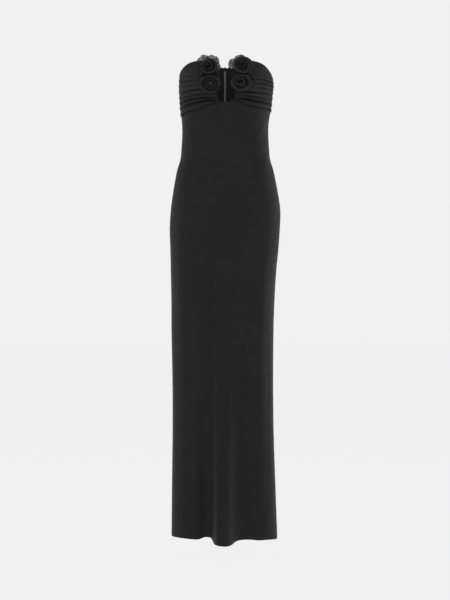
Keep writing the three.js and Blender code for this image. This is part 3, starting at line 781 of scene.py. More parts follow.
@dataclass
class Dresser:
    """Gives every piece its body and its finish, and hides the solids that it stands for."""

    materials: dict[str, bpy.types.Material] = field(default_factory=dict)

    def dress(
        self,
        piece: bpy.types.Object,
        finish: Crepe | Organza | Twill | Metal,
        *nodes: str,
        body: str = "dress",
        cloth: Cloth | None = None,
    ) -> bpy.types.Object:
        """Finishes a piece.

        Args:
            piece: the piece.
            finish: what it is made of.
            nodes: the solids that it stands for.
            body: the body that it moves with.
            cloth: its cut, where it is a sheet. Not used.

        Returns:
            The piece.
        """
        if finish.name not in self.materials:
            self.materials[finish.name] = finish.material()
        piece.data.materials.append(self.materials[finish.name])
        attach(piece, body)
        if nodes:
            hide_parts(*nodes)
        return piece


CREPE = Crepe()
TRIM_CREPE = Crepe(name="trim_crepe", tone=0.009, sheen=0.03)
# The knots take a darker copy of the crepe: painted shade in their tight wraps.
KNOT_PAINTED_SHADE_CREPE = Crepe(name="knot_painted_shade_crepe", tone=0.004, sheen=0.015)
# Rose strips carry painted shade at their foot and a painted highlight at their rim.
ROSE_CREPE = Crepe(name="rose_crepe", tone=0.0135, sheen=0.07, painted_shade_foot_tone=0.1, painted_light_rim_tone=1.35)
ORGANZA = Organza()
TAPE = Twill(name="zip_tape", tone=0.017)
COIL = Twill(name="zip_coil", tone=0.26, ribs=8.0, rib_height=0.00002, roughness=0.5, gloss=0.4)
METAL = Metal()


@dataclass(frozen=True)
class HemTurn:
    """The turned-up and hand-stitched hem: a second layer inside and a faint line outside."""

    deep: float = 23.0
    layer: float = 0.9
    line: float = 0.22
    width: float = 1.6

    def layer_at(self, above: Array) -> Array:
        """Added thickness inside at a height above the hem."""
        return self.layer * (1 - ease(above, self.deep - 0.8, self.deep + 0.8))

    def raise_at(self, above: Array) -> Array:
        """Outside, the turned edge presses a shallow groove into the cloth."""
        return -self.line * bell(above - self.deep, self.width)


HEM = HemTurn()


@dataclass(frozen=True)
class Pucker:
    """Small uneven gathers that a row of stitches draws into a seam."""

    pitch: float
    raised: float
    reach: float

    def raise_at(self, along: Array, away: Array) -> Array:
        """Sum of three waves of unrelated lengths along the seam, fading with the distance from it."""
        wave = (
            np.sin(along * TURN / self.pitch)
            + 0.7 * np.sin(along * TURN / (self.pitch * 1.618) + 1.3)
            + 0.5 * np.sin(along * TURN / (self.pitch * 0.447) + 2.9)
        )
        return self.raised * wave * bell(away, self.reach)


SEAM_PUCKER = Pucker(pitch=13.0, raised=0.14, reach=6.0)
ZIP_PUCKER = Pucker(pitch=21.0, raised=0.32, reach=11.0)


@dataclass(frozen=True)
class FrontPanel:
    """The long front panel, from the under-bust seam and the keyhole's rim to the hem."""

    creases: tuple[Crease, ...] = creases_of(
        (-4, -49, 15, -84, 2.4, 2.6, 1.0), (3, -49, 24, -82, -1.8, 2.6, 1.2),
        (-15, -54, -34, -78, 2.3, 2.8, -1.2), (-9, -54, -24, -80, -1.5, 2.8, -1.0),
        (-19, -50, -44, -62, 1.6, 2.4, 0.6), (84, -66, 168, -78, -1.8, 3.0, 1.5),
        (70, -60, 176, -68, 0.6, 3.6, 1.0), (-70, -74, -160, -88, 0.5, 4.0, -1.5),
        (-150, -104, -82, -168, 0.9, 7.0, 3.0), (-176, -92, -120, -150, -0.7, 7.5, 3.0),
        (152, -96, 84, -160, 0.9, 7.5, -3.0), (180, -100, 124, -158, -0.7, 8.0, -3.0),
        (-188, -150, -112, -226, 0.8, 10.0, 4.0), (190, -156, 108, -232, 0.8, 11.0, -4.0),
        (-60, -180, -84, -420, 0.9, 15.0, 5.0), (58, -200, 76, -460, 0.9, 16.0, -5.0),
        (-128, -300, -118, -900, 1.2, 17.0, 6.0), (-92, -420, -84, -1180, -1.3, 15.0, -4.0),
        (124, -320, 116, -960, 1.3, 18.0, -6.0), (90, -520, 84, -1190, -1.4, 15.0, 5.0),
        (-160, -560, -150, -1195, 1.1, 13.0, -4.0), (158, -640, 150, -1195, 1.1, 14.0, 4.0),
        (12, -420, 4, -900, 1.0, 13.0, 3.0), (-190, -350, -176, -700, -0.8, 9.0, 3.0),
        (186, -420, 178, -800, -0.8, 9.0, -3.0),
    )
    row_ease: float = 1.15
    seam_sink: float = 2.0
    cut: tuple[float, float] = (0.46, 1.19)

    def point(self, angle: Array, share: Array) -> Array:
        """Place on the panel, lifted by its creases, its seams' puckers and the hem's line.

        Args:
            angle: angle from the centre front.
            share: 0 at the top edge, 1 at the hem.

        Returns:
            Points in millimetres.
        """
        left, right = STARTS[Side.LEFT], STARTS[Side.RIGHT]
        seam = FORM.edge(FORM.bust_seam, angle) - FORM.gap / 2
        across = FORM.point(angle, np.full(angle.shape, left[0]))[..., 0]
        inside = (angle > left[1]) & (angle < right[1])
        top = np.where(inside, np.minimum(KEYHOLE.rim_height(across), seam), seam)
        hem = FORM.edge(FORM.hem, angle)
        height = mix(top, hem, share)
        from_side = (QUARTER - np.abs(angle)) * ROUND
        lift = creased(self.creases, angle, height) * ease(top - height, 0, 9)
        lift = lift + SEAM_PUCKER.raise_at(height, from_side)
        lift = lift + SEAM_PUCKER.raise_at(angle * ROUND, top - height) * ~inside
        lift = lift + HEM.raise_at(height - hem) - self.seam_sink * bell(top - height, 3.5) * ~inside
        return FORM.point(angle, height) + FORM.outward(angle, height) * lift[..., None]

    def build(self, dresser: Dresser) -> None:
        """Makes and finishes the panel."""
        def thickness(angle: Array, share: Array) -> Array:
            length = FORM.edge(FORM.bust_seam, angle) - FORM.edge(FORM.hem, angle)
            return FORM.wall + HEM.layer_at((1 - share) * length)

        side = QUARTER - FORM.gap_angle()
        left, right = STARTS[Side.LEFT][1], STARTS[Side.RIGHT][1]
        columns = np.concatenate([
            mix(-side, left, spaced(84, 180)[:-4]),
            mix(left, right, np.linspace(0, 1, 36))[:-1],
            mix(right, side, spaced(84, 180)[4:]),
        ])
        rows = spaced(205, 1150) ** self.row_ease
        piece, area = Wall(self.point, -1, thickness).build("front_cloth", columns, rows)
        dresser.dress(piece, CREPE, "front", cloth=Cloth(self.cut, "hung", (), min(area, math.prod(self.cut))))


@dataclass(frozen=True)
class BackPanel:
    """One long back panel, from the top edge to the hem, with a small notch at the top of the zip."""

    side: Side
    creases: tuple[Crease, ...]
    notch: float = 6.0
    notch_width: float = 5.0
    notch_height: float = 64.0
    row_ease: float = 1.1
    cut: tuple[float, float] = (0.25, 1.31)

    def height(self, angle: Array, share: Array) -> Array:
        """Height at a share of the way down, from the notched top edge to the hem."""
        half = float(FORM.body.read("half", self.notch_height))
        inside = np.clip(1 - (math.pi - np.abs(angle)) * half / self.notch_width, 0, 1)
        top = FORM.edge(FORM.top, angle) - self.notch * inside**2
        return mix(top, FORM.edge(FORM.hem, angle), share)

    def point(self, angle: Array, share: Array) -> Array:
        """Place on the panel, lifted by its creases and the puckers of its seams."""
        height = self.height(angle, share)
        from_side = (np.abs(angle) - QUARTER) * ROUND
        from_zip = (math.pi - np.abs(angle)) * ROUND
        below = FORM.edge(FORM.top, angle) - height
        lift = creased(self.creases, angle, height) * ease(below, 0, 14) * ease(from_zip, 3, 20)
        lift = lift + SEAM_PUCKER.raise_at(height, from_side)
        lift = lift + ZIP_PUCKER.raise_at(height, from_zip - 7) * ease(from_zip, 2, 8)
        lift = lift + HEM.raise_at(height - FORM.edge(FORM.hem, angle))
        return FORM.point(angle, height) + FORM.outward(angle, height) * lift[..., None]

    def build(self, dresser: Dresser) -> None:
        """Makes and finishes the panel."""
        def thickness(angle: Array, share: Array) -> Array:
            return FORM.wall + HEM.layer_at(self.height(angle, share) - FORM.edge(FORM.hem, angle))

        gap = FORM.gap_angle()
        columns = mix(QUARTER + gap, math.pi - gap, spaced(96, 190))
        columns = columns if self.side is Side.RIGHT else -columns[::-1]
        rows = spaced(180, 1270) ** self.row_ease
        name = f"back_{self.side.word}"
        piece, area = Wall(self.point, -1, thickness).build(f"{name}_cloth", columns, rows)
        dresser.dress(piece, CREPE, name, cloth=Cloth(self.cut, "hung", (), min(area, math.prod(self.cut))))


@dataclass(frozen=True)
class SeamBacking:
    """The pressed-open allowances inside a long seam, as the one band that closes it from within."""

    name: str
    turn: float
    top: float
    spread: float = 0.07
    clear: float = 0.3
    thick: float = 0.7
    above_hem: float = 2.0

    def point(self, angle: Array, share: Array) -> Array:
        """Places inside the seam, clear of the panels and of the turned-up hem."""
        hem = FORM.edge(FORM.hem, np.full(np.shape(share), self.turn))
        height = mix(self.top, hem + self.above_hem, share)
        deep = FORM.wall + HEM.layer + self.clear
        return FORM.point(angle, height) - FORM.outward(angle, height) * deep

    def build(self, dresser: Dresser) -> None:
        """Makes and finishes the band."""
        angles = self.turn + self.spread * (2 * spaced(12, 20, 0.4) - 1)
        piece, area = Wall(self.point, -1, self.thick).build(self.name, angles, spaced(70, 1200, 0.4))
        rows = self.point(np.full(70, self.turn), np.linspace(0, 1, 70))
        long = float(np.linalg.norm(np.diff(rows, axis=0), axis=1).sum()) * MM
        cut = (round(area / long, 4), round(long, 3))
        dresser.dress(piece, CREPE, cloth=Cloth(cut, "hung", ("back_left_cloth", "back_right_cloth")))


BELOW_TOP = 3.0
SIDE_TURNS = {f"seam_backing_{side.word}": side.value * QUARTER for side in Side}
SEAM_BACKINGS = (
    *(SeamBacking(name, turn, float(FORM.edge(FORM.top, turn)) - BELOW_TOP) for name, turn in SIDE_TURNS.items()),
    SeamBacking("seam_backing_middle", math.pi, -310.0),
)


@dataclass(frozen=True)
class Gather:
    """A gather line of a cup: its height at the keyhole and at the side, and the crease that it presses."""

    inner: float
    outer: float
    deep: float
    start: float
    end: float
    puff: float
    bow: float = 0.0


@dataclass(frozen=True)
class Cup:
    """A gathered bust piece, whose rows follow its gather lines with soft puffs between them."""

    side: Side
    gathers: tuple[Gather, ...]
    creases: tuple[Crease, ...]
    crease: float = 0.24
    crease_above: float = 0.15
    crease_below: float = 0.27
    nip: float = 2.4
    nip_width: float = 0.06
    fold_gain: float = 2.8
    at_side: float = 0.45
    seam_roll: float = 2.3
    seam_roll_width: float = 2.6
    start_share: float = 0.14
    last_puff: float = 0.6
    corner_height: float = 46.0
    fullness: float = 1.15
    cut: tuple[float, float] = (0.17, 0.18)

    @property
    def lines(self) -> int:
        """Number of spaces between lines, the seam and the top edge among them."""
        return len(self.gathers) + 1

    def line_heights(self, across: Array, fine: bool) -> Array:
        """Heights of the under-bust seam, every gather line and the top edge, stacked in that order."""
        _, start = STARTS[self.side]
        end = self.side.value * (QUARTER - FORM.gap_angle())
        corner_across = KEYHOLE.centre + self.side.value * KEYHOLE.half
        corner = float(FORM.angle_across(corner_across, self.corner_height))
        seam = FORM.edge(FORM.bust_seam, mix(start, end, across)) + FORM.gap / 2
        top = FORM.edge(FORM.top, mix(corner, end, across))
        bowed = 4 * across * (1 - across) * fine
        between = [mix(one.inner, one.outer, across) + one.bow * bowed for one in self.gathers]
        return np.stack([seam, *between, top])

    def crease_depths(self, across: Array) -> Array:
        """Depth of every line's crease, which starts with a smooth step and is shallower at the side."""
        depths = [np.zeros_like(across)]
        for one in self.gathers:
            begun = ease(across, one.start - 0.02, one.start + self.start_share)
            ended = 1 - (1 - self.at_side) * ease(across, one.end - 0.3, one.end)
            depths.append(one.deep * begun * ended)
        return np.stack([*depths, np.zeros_like(across)])

    def point(self, across: Array, row: Array, fine: bool = True) -> Array:
        """Place on the cup.

        The height lies between the two lines round the row. A half sine puffs the cloth out between
        them, and a bell at each line creases it.

        Args:
            across: 0 at the keyhole, 1 at the side seam.
            row: line number, 0 at the under-bust seam.
            fine: whether the small folds are there as well as the main ones.

        Returns:
            Points in millimetres.
        """
        low = np.clip(np.floor(row), 0, self.lines - 1).astype(int)
        share = row - low
        heights, depths = self.line_heights(across, fine), self.crease_depths(across)

        def pick(stack: Array, index: Array) -> Array:
            return np.take_along_axis(stack, index[None], axis=0)[0]

        height = mix(pick(heights, low), pick(heights, low + 1), share)
        start_height, _ = STARTS[self.side]
        held = np.maximum(height, start_height)
        inner = FORM.angle_across(KEYHOLE.edge_across(self.side, held), held)
        angle = mix(inner, self.side.value * (QUARTER - FORM.gap_angle()), across)
        spread = ease(across, 0, self.start_share) * (1 - (1 - self.at_side) * ease(across, 0.7, 1))
        puffs = np.array([one.puff for one in self.gathers] + [self.last_puff])
        lift = puffs[low] * spread * np.sin(math.pi * np.clip(share, 0, 1))
        above, below = (self.crease_above, self.crease_below) if fine else (self.crease, self.crease)
        lift = lift - pick(depths, low) * bell(share, above)
        lift = lift - pick(depths, low + 1) * bell(1 - share, below)
        if fine:
            edge = ease(row, 0, 0.5) * (1 - ease(row, self.lines - 0.5, self.lines))
            lift = lift + self.fold_gain * creased(self.creases, angle, height) * edge
            for index, near in ((low, share), (low + 1, 1 - share)):
                lift = lift - self.nip * np.minimum(pick(depths, index) / 2, 1) * bell(near, self.nip_width)
            lift = lift + self.seam_roll * bell(height - heights[0], self.seam_roll_width)
            lift = lift + SEAM_PUCKER.raise_at(angle * ROUND, (self.lines - row) * 12)
        return FORM.point(angle, height) + FORM.outward(angle, height) * lift[..., None]

    def build(self, dresser: Dresser) -> None:
        """Makes and finishes the cup."""
        name = f"cup_{self.side.word}"
        rows = self.lines * spaced(140, 118)
        piece, area = Wall(self.point, self.side.value).build(f"{name}_cloth", spaced(130, 160), rows)
        flat = min(area * self.fullness, math.prod(self.cut))
        dresser.dress(piece, CREPE, name, cloth=Cloth(self.cut, "gathered", ("front_cloth",), flat))


CUPS = {
    Side.LEFT: Cup(
        Side.LEFT,
        (
            Gather(-39, -57.7, 4.4, 0, 1, 2.6, 2.0),
            Gather(-34, -43, 4, 0, 1, 2.4, 2.2),
            Gather(-25, -30, 1.4, 0.1, 1, 2.4, 1.2),
            Gather(-13.5, -16, 3.4, 0.15, 1, 2.2, 2.4),
            Gather(-1, 2, 1.3, 0.35, 1, 2, 0.6),
            Gather(11, 18, 2, 0.3, 0.9, 1.6, 0),
            Gather(29, 30, 1.1, 0.4, 0.95, 1.2, 0),
        ),
        creases_of(
            (-44, -29, -130, -36, -1.0, 1.3, 1.5), (-60, -31, -110, -38, 0.7, 1.5, 1.0),
            (-50, -47, -128, -58, -0.8, 1.3, 1.5), (-96, -44, -196, -62, -1.0, 1.5, 2.5),
            (-120, -33, -200, -50, -1.1, 1.5, 2.2), (-108, -10, -198, -26, -1.2, 1.6, 3.0),
            (-84, -20, -140, -20, -0.7, 1.4, 1.0), (-96, 6, -150, 5, -0.8, 1.2, 0.5),
            (-124, 14, -198, 6, -0.9, 1.6, 1.5), (-88, 26, -130, 27, -0.7, 1.3, 0.4),
            (-140, 24, -196, 20, 0.7, 2.0, 1.0), (-84, 44, -150, 42, -0.5, 2.2, 1.5),
            (-150, -4, -202, -14, -0.8, 1.5, 1.2), (-34, -36, -70, -43, -0.9, 1.1, 0.6),
        ),
    ),
    Side.RIGHT: Cup(
        Side.RIGHT,
        (
            Gather(-35.5, -49, 4.2, 0, 1, 2.2, 1.0),
            Gather(-28, -34, 1.6, 0.1, 1, 2.4, -0.6),
            Gather(-19.5, -14, 2.6, 0, 1, 2.2, -1.4),
            Gather(-6, -4, 1.4, 0.3, 1, 2, 0),
            Gather(5, 4, 2, 0.3, 1, 1.4, 1.6),
            Gather(14, 12.5, 3, 0.3, 1, 1.8, 3.0),
            Gather(31, 22, 1.2, 0.4, 0.95, 1.2, 2.0),
        ),
        creases_of(
            (36, -31, 96, -44, -1.0, 1.2, -1.2), (40, -37, 90, -48, 0.7, 1.4, -1.0),
            (84, -40, 178, -46, -1.0, 1.4, -1.5), (96, -30, 180, -40, -0.8, 1.5, -1.5),
            (120, -22, 200, -30, -1.0, 1.6, -2.0), (60, -25, 130, -27, -0.6, 1.4, -0.6),
            (128, -6, 202, -16, -0.9, 1.5, -1.5), (92, 8, 160, 9, -0.8, 1.3, -0.5),
            (140, 2, 202, -8, -0.9, 1.4, -1.2), (110, 19, 176, 12, -0.9, 1.4, -2.0),
            (150, 14, 202, 2, 0.8, 1.6, -1.5), (96, 28, 150, 26, -0.5, 1.8, -1.0),
            (90, 45, 150, 40, -0.5, 2.4, -1.5), (160, -24, 203, -34, -0.9, 1.3, -1.0),
        ),
    ),
}


BACK_CREASES = creases_of(
    (222, 20, 300, -60, 1.0, 9.0, 4.0), (236, -40, 330, -84, -1.0, 7.0, 3.0),
    (214, -88, 318, -130, 1.1, 7.0, -3.0), (216, -112, 332, -152, -1.1, 6.0, -4.0),
    (222, -150, 340, -176, 1.3, 8.0, -5.0), (248, -186, 376, -204, -1.1, 8.0, -6.0),
    (262, -230, 236, -520, 1.0, 16.0, 5.0), (330, -420, 322, -1150, 1.6, 17.0, -6.0),
    (286, -470, 280, -1190, -1.6, 15.0, 4.0), (240, -560, 238, -1195, 1.5, 15.0, -4.0),
    (372, -380, 366, -1180, -1.3, 14.0, 3.0),
)


def mirrored(crease: Crease, shift: float, stretch: float) -> Crease:
    """The same crease on the left, moved and stretched a little so that the sides differ."""
    start = (-crease.start[0] + shift, crease.start[1] * stretch - shift)
    end = (-crease.end[0] + shift, crease.end[1] * stretch - shift)
    return Crease(start, end, crease.raised * stretch, crease.width / stretch, -crease.bow)


@dataclass(frozen=True)
class KeyholeTrim:
    """The rolled binding round the keyhole and the short knotted band across its top."""

    radius: float = 1.62
    gap: float = 0.16
    top: float = 46.0
    band_height: float = 39.2
    band: float = 3.6
    band_thick: float = 1.6
    knots: tuple[float, ...] = (-8.8, 11.2)
    knot_wide: float = 4.1
    knot_high: float = 6.0

    def path(self) -> Array:
        """Middle of the binding: down the left side, round the rounded corners and up the right side."""
        inset = self.gap + self.radius
        reach, drop = KEYHOLE.half - inset, KEYHOLE.drop - inset
        straight = np.linspace(self.top, KEYHOLE.straight_to, 40)
        sweep = np.linspace(0, math.pi, 150)[1:-1]
        power = 2 / KEYHOLE.fullness(sweep < QUARTER)
        across = KEYHOLE.centre - np.sign(np.cos(sweep)) * reach * np.abs(np.cos(sweep)) ** power
        height = KEYHOLE.straight_to - drop * np.abs(np.sin(sweep)) ** power
        across = np.concatenate([
            np.full(40, KEYHOLE.centre - reach), across, np.full(40, KEYHOLE.centre + reach),
        ])
        height = np.concatenate([straight, height, straight[::-1]])
        angle = FORM.angle_across(across, height)
        return FORM.point(angle, height) - FORM.outward(angle, height) * FORM.wall / 2

    def knot(self, across: float) -> Part:
        """A small wrapped knot: a rounded lump whose surface has three slanting wraps.

        Its radius swells with the sine of three times the turn plus twice the tilt, as crossed wraps do.

        Args:
            across: place of the knot's centre.

        Returns:
            Points, faces and flat positions.
        """
        tilt, turn = np.meshgrid(
            np.linspace(-QUARTER * 0.985, QUARTER * 0.985, 30), np.linspace(0, TURN, 48, endpoint=False),
            indexing="ij",
        )
        swell = 1 - 0.13 * bell(np.sin(1.5 * turn + 2 * tilt), 0.35)
        angle = FORM.angle_across(across, self.band_height)
        seat = FORM.point(angle, np.asarray(self.band_height)) + np.array([0, self.band_thick / 2, 0])
        ring = np.cos(tilt) * swell * self.knot_wide
        points = np.stack(
            [ring * np.cos(turn), ring * np.sin(turn), np.sin(tilt) * swell * self.knot_high], axis=-1
        )
        uv = np.stack([turn, tilt], axis=-1) / 20
        faces = grid_faces(30, 48, closed=True)[:, ::-1]
        return (points + seat).reshape(-1, 3), faces, uv.reshape(-1, 2)

    def build(self, dresser: Dresser) -> None:
        """Makes and finishes the binding, the band and the knots."""
        path = self.path()
        run = lengths_along(path[:, None], 0)[:, 0]
        roll = self.radius * (1 + 0.05 * np.sin(run / 2.3) + 0.04 * np.sin(run / 1.37 + 1))
        binding = Tube(path, roll, 16).build("keyhole_binding_roll")
        dresser.dress(binding, CREPE, "keyhole_binding")

        def band(across: Array, rise: Array) -> Array:
            place = KEYHOLE.centre + across * (KEYHOLE.half - self.gap - 2 * self.radius + 0.2)
            height = self.band_height + rise * self.band / 2 * (1 - 0.18 * bell(across, 0.35))
            angle = FORM.angle_across(place, height)
            lift = 0.5 * bell(rise, 0.6) + 0.18 * np.sin(9 * across + 5 * rise)
            return FORM.point(angle, height) + FORM.outward(angle, height) * (lift - 0.4)[..., None]

        steps = 2 * spaced(60, 44) - 1
        strap, _ = Wall(band, 1, self.band_thick).build("keyhole_band_strap", steps, 2 * spaced(14, 5) - 1)
        knots = joined("keyhole_band_knots", [self.knot(across) for across in self.knots])
        dresser.dress(strap, TRIM_CREPE, "keyhole_bridge")
        # The knots' darker crepe is painted shade.
        dresser.dress(knots, KNOT_PAINTED_SHADE_CREPE)


@dataclass(frozen=True)
class Seat:
    """A rose's own frame: its centre, its directions and how far the gathers lie below it."""

    centre: Array
    right: Array
    up: Array
    out: Array
    sunk: float

    def place(self, across: Array, up: Array, out: Array) -> Array:
        """Points from distances across, up and out of the seat."""
        return (
            self.centre + across[..., None] * self.right + up[..., None] * self.up + out[..., None] * self.out
        )


@dataclass(frozen=True)
class Petal:
    """A sheer petal fanned behind a rose, from one turn to another, with a rim that curls forward."""

    name: str
    turn_from: float
    turn_to: float
    reach: float
    curl: float
    level: int
    ripples: float = 3.0
    phase: float = 0.0
    sheer: bool = True


@dataclass(frozen=True)
class Rose:
    """A strip of cloth rolled into an opening spiral on a flat base, with petals behind it."""

    name: str
    across: float
    up: float
    wide: float
    high: float
    turns: float
    hand: int
    start: float
    foot: float
    second: float
    eye: float
    lean: tuple[float, float]
    heart: float
    petals: tuple[Petal, ...] = ()
    ripple: float = 0.6
    phase: float = 0.0
    wall: float = 1.5
    tall: float = 16.0
    lowering: float = 5.0
    wave: float = 1.1
    waves: float = 3.0
    settle: float = 0.08
    step_from: float = 0.95
    step_to: float = 1.3
    base_thick: float = 1.6
    base_share: float = 0.7
    base_sink: float = 0.8
    heart_middle: float = 6.3
    heart_half: float = 7.8
    shank: float = 5.0
    shank_around: float = 1.0
    seat_gap: float = 0.35
    petal_wall: float = 1.0
    petal_gap: float = 0.35
    petal_root: float = 0.34
    petal_beyond: float = 2.0
    petal_curl_over: float = 10.0
    organza_wall: float = 0.3
    curl_wall: float = 0.8
    hem_radius: float = 0.42

    def seat(self) -> Seat:
        """Frame that just clears the gathers behind the rose.

        The plane is lifted to the highest place of the cup under the rose's outline, and the sunk depth
        is measured over the shank's own circle.
        """
        angle = FORM.angle_across(self.across, np.asarray(self.up))
        height = np.asarray(float(self.up))
        centre, out = FORM.point(angle, height), FORM.outward(angle, height)
        right = np.cross([0.0, 0.0, 1.0], out)
        right /= np.linalg.norm(right)
        up = np.cross(out, right)
        cup = CUPS[Side.LEFT if self.across < 0 else Side.RIGHT]
        grid = np.meshgrid(np.linspace(0, 1, 51), np.arange(0, cup.lines + 0.01, 0.125), indexing="ij")
        offset = cup.point(*grid, fine=False) - centre
        sideways, upwards, rise = offset @ right, offset @ up, offset @ out
        under = np.hypot(sideways / self.wide, upwards / self.high) < 1
        middle = np.hypot(sideways, upwards) < self.shank + self.shank_around
        lift = max(0.0, float(rise[under].max()))
        return Seat(centre + out * lift, right, up, out, lift - float(rise[middle].max()))

    def level_out(self, level: int) -> float:
        """How far out a layer of petals, or the base after the last one, starts."""
        return self.seat_gap + level * (self.petal_wall + self.petal_gap)

    @property
    def base_out(self) -> float:
        """How far out the base starts."""
        levels = [petal.level for petal in self.petals]
        return self.level_out(max(levels) + 1 if levels else 0)

    def opened(self, along: Array) -> Array:
        """Radius as a share of the rose's, by the share along the strip.

        The last turn is nearly round. Then the strip steps inwards to the second ring and winds on
        evenly to the eye.
        """
        back = (1 - along) * self.turns
        outer = 1 - self.settle * np.minimum(back, 1)
        inner = mix(self.second, self.eye, np.maximum(back - 1, 0) / (self.turns - 1))
        return mix(outer, inner, ease(back, self.step_from, self.step_to))

    def strip(self, seat: Seat) -> Surface:
        """The rolled strip as a surface of the share along it and the share of its height.

        The radius widens from foot to rim with a power of the height, and carries two unrelated ripples
        that grow towards the strip's outer end. The inner rings lean to one side.

        Args:
            seat: the rose's frame.

        Returns:
            The surface.
        """
        foot = self.base_out + self.base_thick - self.base_sink

        def surface(along: Array, rise: Array) -> Array:
            turn = self.start + self.hand * along * self.turns * TURN
            opened = self.opened(along)
            spread = opened * mix(self.foot, 1, rise * np.abs(rise) ** 0.4)
            ripple = np.sin(5 * turn + self.phase) + 0.6 * np.sin(8.3 * turn + 2 * self.phase)
            spread = spread * (1 + 0.022 * self.ripple * ripple * rise**2 * along)
            wave = self.wave * np.sin(self.waves * turn) * along + 0.35 * self.ripple * ripple * along
            tall = self.tall - self.lowering * along + wave
            return seat.place(
                (self.wide - self.wall) * spread * np.cos(turn) + self.lean[0] * (1 - opened),
                (self.high - self.wall) * spread * np.sin(turn) + self.lean[1] * (1 - opened),
                foot + tall * rise,
            )

        return surface

    def thickness(self, along: Array, rise: Array) -> Array:
        """The strip is folded double, so its rim is a soft full fold and its body a little thinner."""
        return self.wall * (0.74 + 0.42 * bell(1 - rise, 0.13))

    def pad(self, seat: Seat) -> Part:
        """The round base with soft edges and the sewn shank behind it, turned from one profile."""
        low, high = self.base_out, self.base_out + self.base_thick
        back = self.seat_gap - seat.sunk
        mean = (self.wide + self.high) / 2
        rim, soft, neck = self.base_share, 0.5 / mean, self.shank / mean
        radius = np.array([0.001, neck * 0.9, neck, neck, neck + soft, rim - soft, rim, rim, rim - soft, 0.001])
        depth = np.array([back, back, back + 0.3, low - 0.3, low, low, low + 0.4, high - 0.4, high, high])
        turn = np.linspace(0, TURN, 72, endpoint=False)
        across = radius[:, None] * np.cos(turn) * self.wide
        up = radius[:, None] * np.sin(turn) * self.high
        points = seat.place(across, up, np.broadcast_to(depth[:, None], across.shape))
        uv = np.stack([across, up], axis=-1) / UV_UNIT
        return points.reshape(-1, 3), grid_faces(10, 72, closed=True)[:, ::-1], uv.reshape(-1, 2)

    def bud(self, seat: Seat) -> Part:
        """The tightly rolled middle: a rounded lump with one wrap winding twice round it to the top.

        Its radius dips where half the turn plus four times the tilt crosses a whole half turn.

        Args:
            seat: the rose's frame.

        Returns:
            Points, faces and flat positions.
        """
        tilt, turn = np.meshgrid(
            np.linspace(-QUARTER * 0.99, QUARTER * 0.99, 48), np.linspace(0, TURN, 72, endpoint=False),
            indexing="ij",
        )
        wrap = bell(np.sin(0.5 * self.hand * turn + 4 * tilt), 0.3) * (1 - bell(QUARTER - tilt, 0.16))
        swell = 1 - 0.1 * wrap
        middle = self.base_out + self.base_thick + self.heart_middle
        points = seat.place(
            self.wide * self.heart * swell * np.cos(tilt) * np.cos(turn) + self.lean[0],
            self.high * self.heart * swell * np.cos(tilt) * np.sin(turn) + self.lean[1],
            middle + self.heart_half * swell * np.sin(tilt),
        )
        uv = np.stack([turn * 8, (tilt + QUARTER) * 8], axis=-1) / UV_UNIT
        return points.reshape(-1, 3), grid_faces(48, 72, closed=True), uv.reshape(-1, 2)

    def petal_surface(self, petal: Petal, seat: Seat) -> Surface:
        """A petal as a surface of the share round it and the share out from its root.

        Its reach is fullest in the middle. Beyond the base it curls forward with the square of the
        distance, and its rim ripples.

        Args:
            petal: the petal.
            seat: the rose's frame.

        Returns:
            The surface.
        """
        def surface(sweep: Array, out: Array) -> Array:
            turn = np.radians(mix(petal.turn_from, petal.turn_to, sweep))
            ripple = np.sin(petal.ripples * TURN * sweep + petal.phase)
            ripple = ripple + 0.5 * np.sin(petal.ripples * 4.6 * math.pi * sweep + 2 * petal.phase)
            rim = petal.reach * (1 - 0.16 * np.abs(2 * sweep - 1) ** 3) * (1 + 0.005 * ripple * out**4)
            reach = rim * mix(self.petal_root, 1, out)
            bend = self.wide * self.base_share + self.petal_beyond
            beyond = np.maximum(0, reach - bend) / self.petal_curl_over
            rise = petal.curl * beyond**2 + 0.8 * ripple * beyond**1.5
            depth = self.level_out(petal.level) + self.petal_wall / 2 + rise
            return seat.place(reach * np.cos(turn), reach * np.sin(turn), depth)

        return surface

    def petal_edge(self, petal: Petal, seat: Seat) -> Array:
        """Path of a petal's rolled hem: up one side, round the rim and down the other side."""
        sweep = np.concatenate([np.zeros(24), np.linspace(0, 1, 120)[1:-1], np.ones(24)])
        out = np.concatenate([np.linspace(0.55, 1, 24), np.ones(118), np.linspace(1, 0.55, 24)])
        return self.petal_surface(petal, seat)(sweep, out)

    def build(self, dresser: Dresser) -> None:
        """Makes and finishes the rose and its petals."""
        seat = self.seat()
        along = spaced(430, 420, 1.2) ** 0.8
        rise = spaced(15, 18, 0.9)
        roll, area = Wall(self.strip(seat), -self.hand, self.thickness).build(f"{self.name}_roll", along, rise)
        length = area / (self.tall * MM)
        cut = (round(self.tall * MM * 1.05, 4), round(length * 1.02, 3))
        cup = f"cup_{'left' if self.across < 0 else 'right'}_cloth"
        dresser.dress(roll, ROSE_CREPE, self.name, cloth=Cloth(cut, "folded", (cup,)))
        dresser.dress(joined(f"{self.name}_base", [self.pad(seat)]), TRIM_CREPE)
        if self.heart:
            dresser.dress(joined(f"{self.name}_bud", [self.bud(seat)]), ROSE_CREPE)
        for petal in self.petals:
            thick = self.organza_wall if petal.sheer else self.curl_wall
            wall = Wall(self.petal_surface(petal, seat), -1, thick)
            piece, area = wall.build(f"{petal.name}_cloth", spaced(64, 45, 0.3), spaced(26, 22, 0.3))
            side = round(math.sqrt(area * 1.25), 4)
            cloth = Cloth((side, side), "gathered", (f"{self.name}_base",), area)
            dresser.dress(piece, ORGANZA if petal.sheer else ROSE_CREPE, petal.name, cloth=cloth)
            if petal.sheer:
                hem = Tube(self.petal_edge(petal, seat), self.hem_radius, 8).build(f"{petal.name}_hem")
                dresser.dress(hem, TRIM_CREPE)


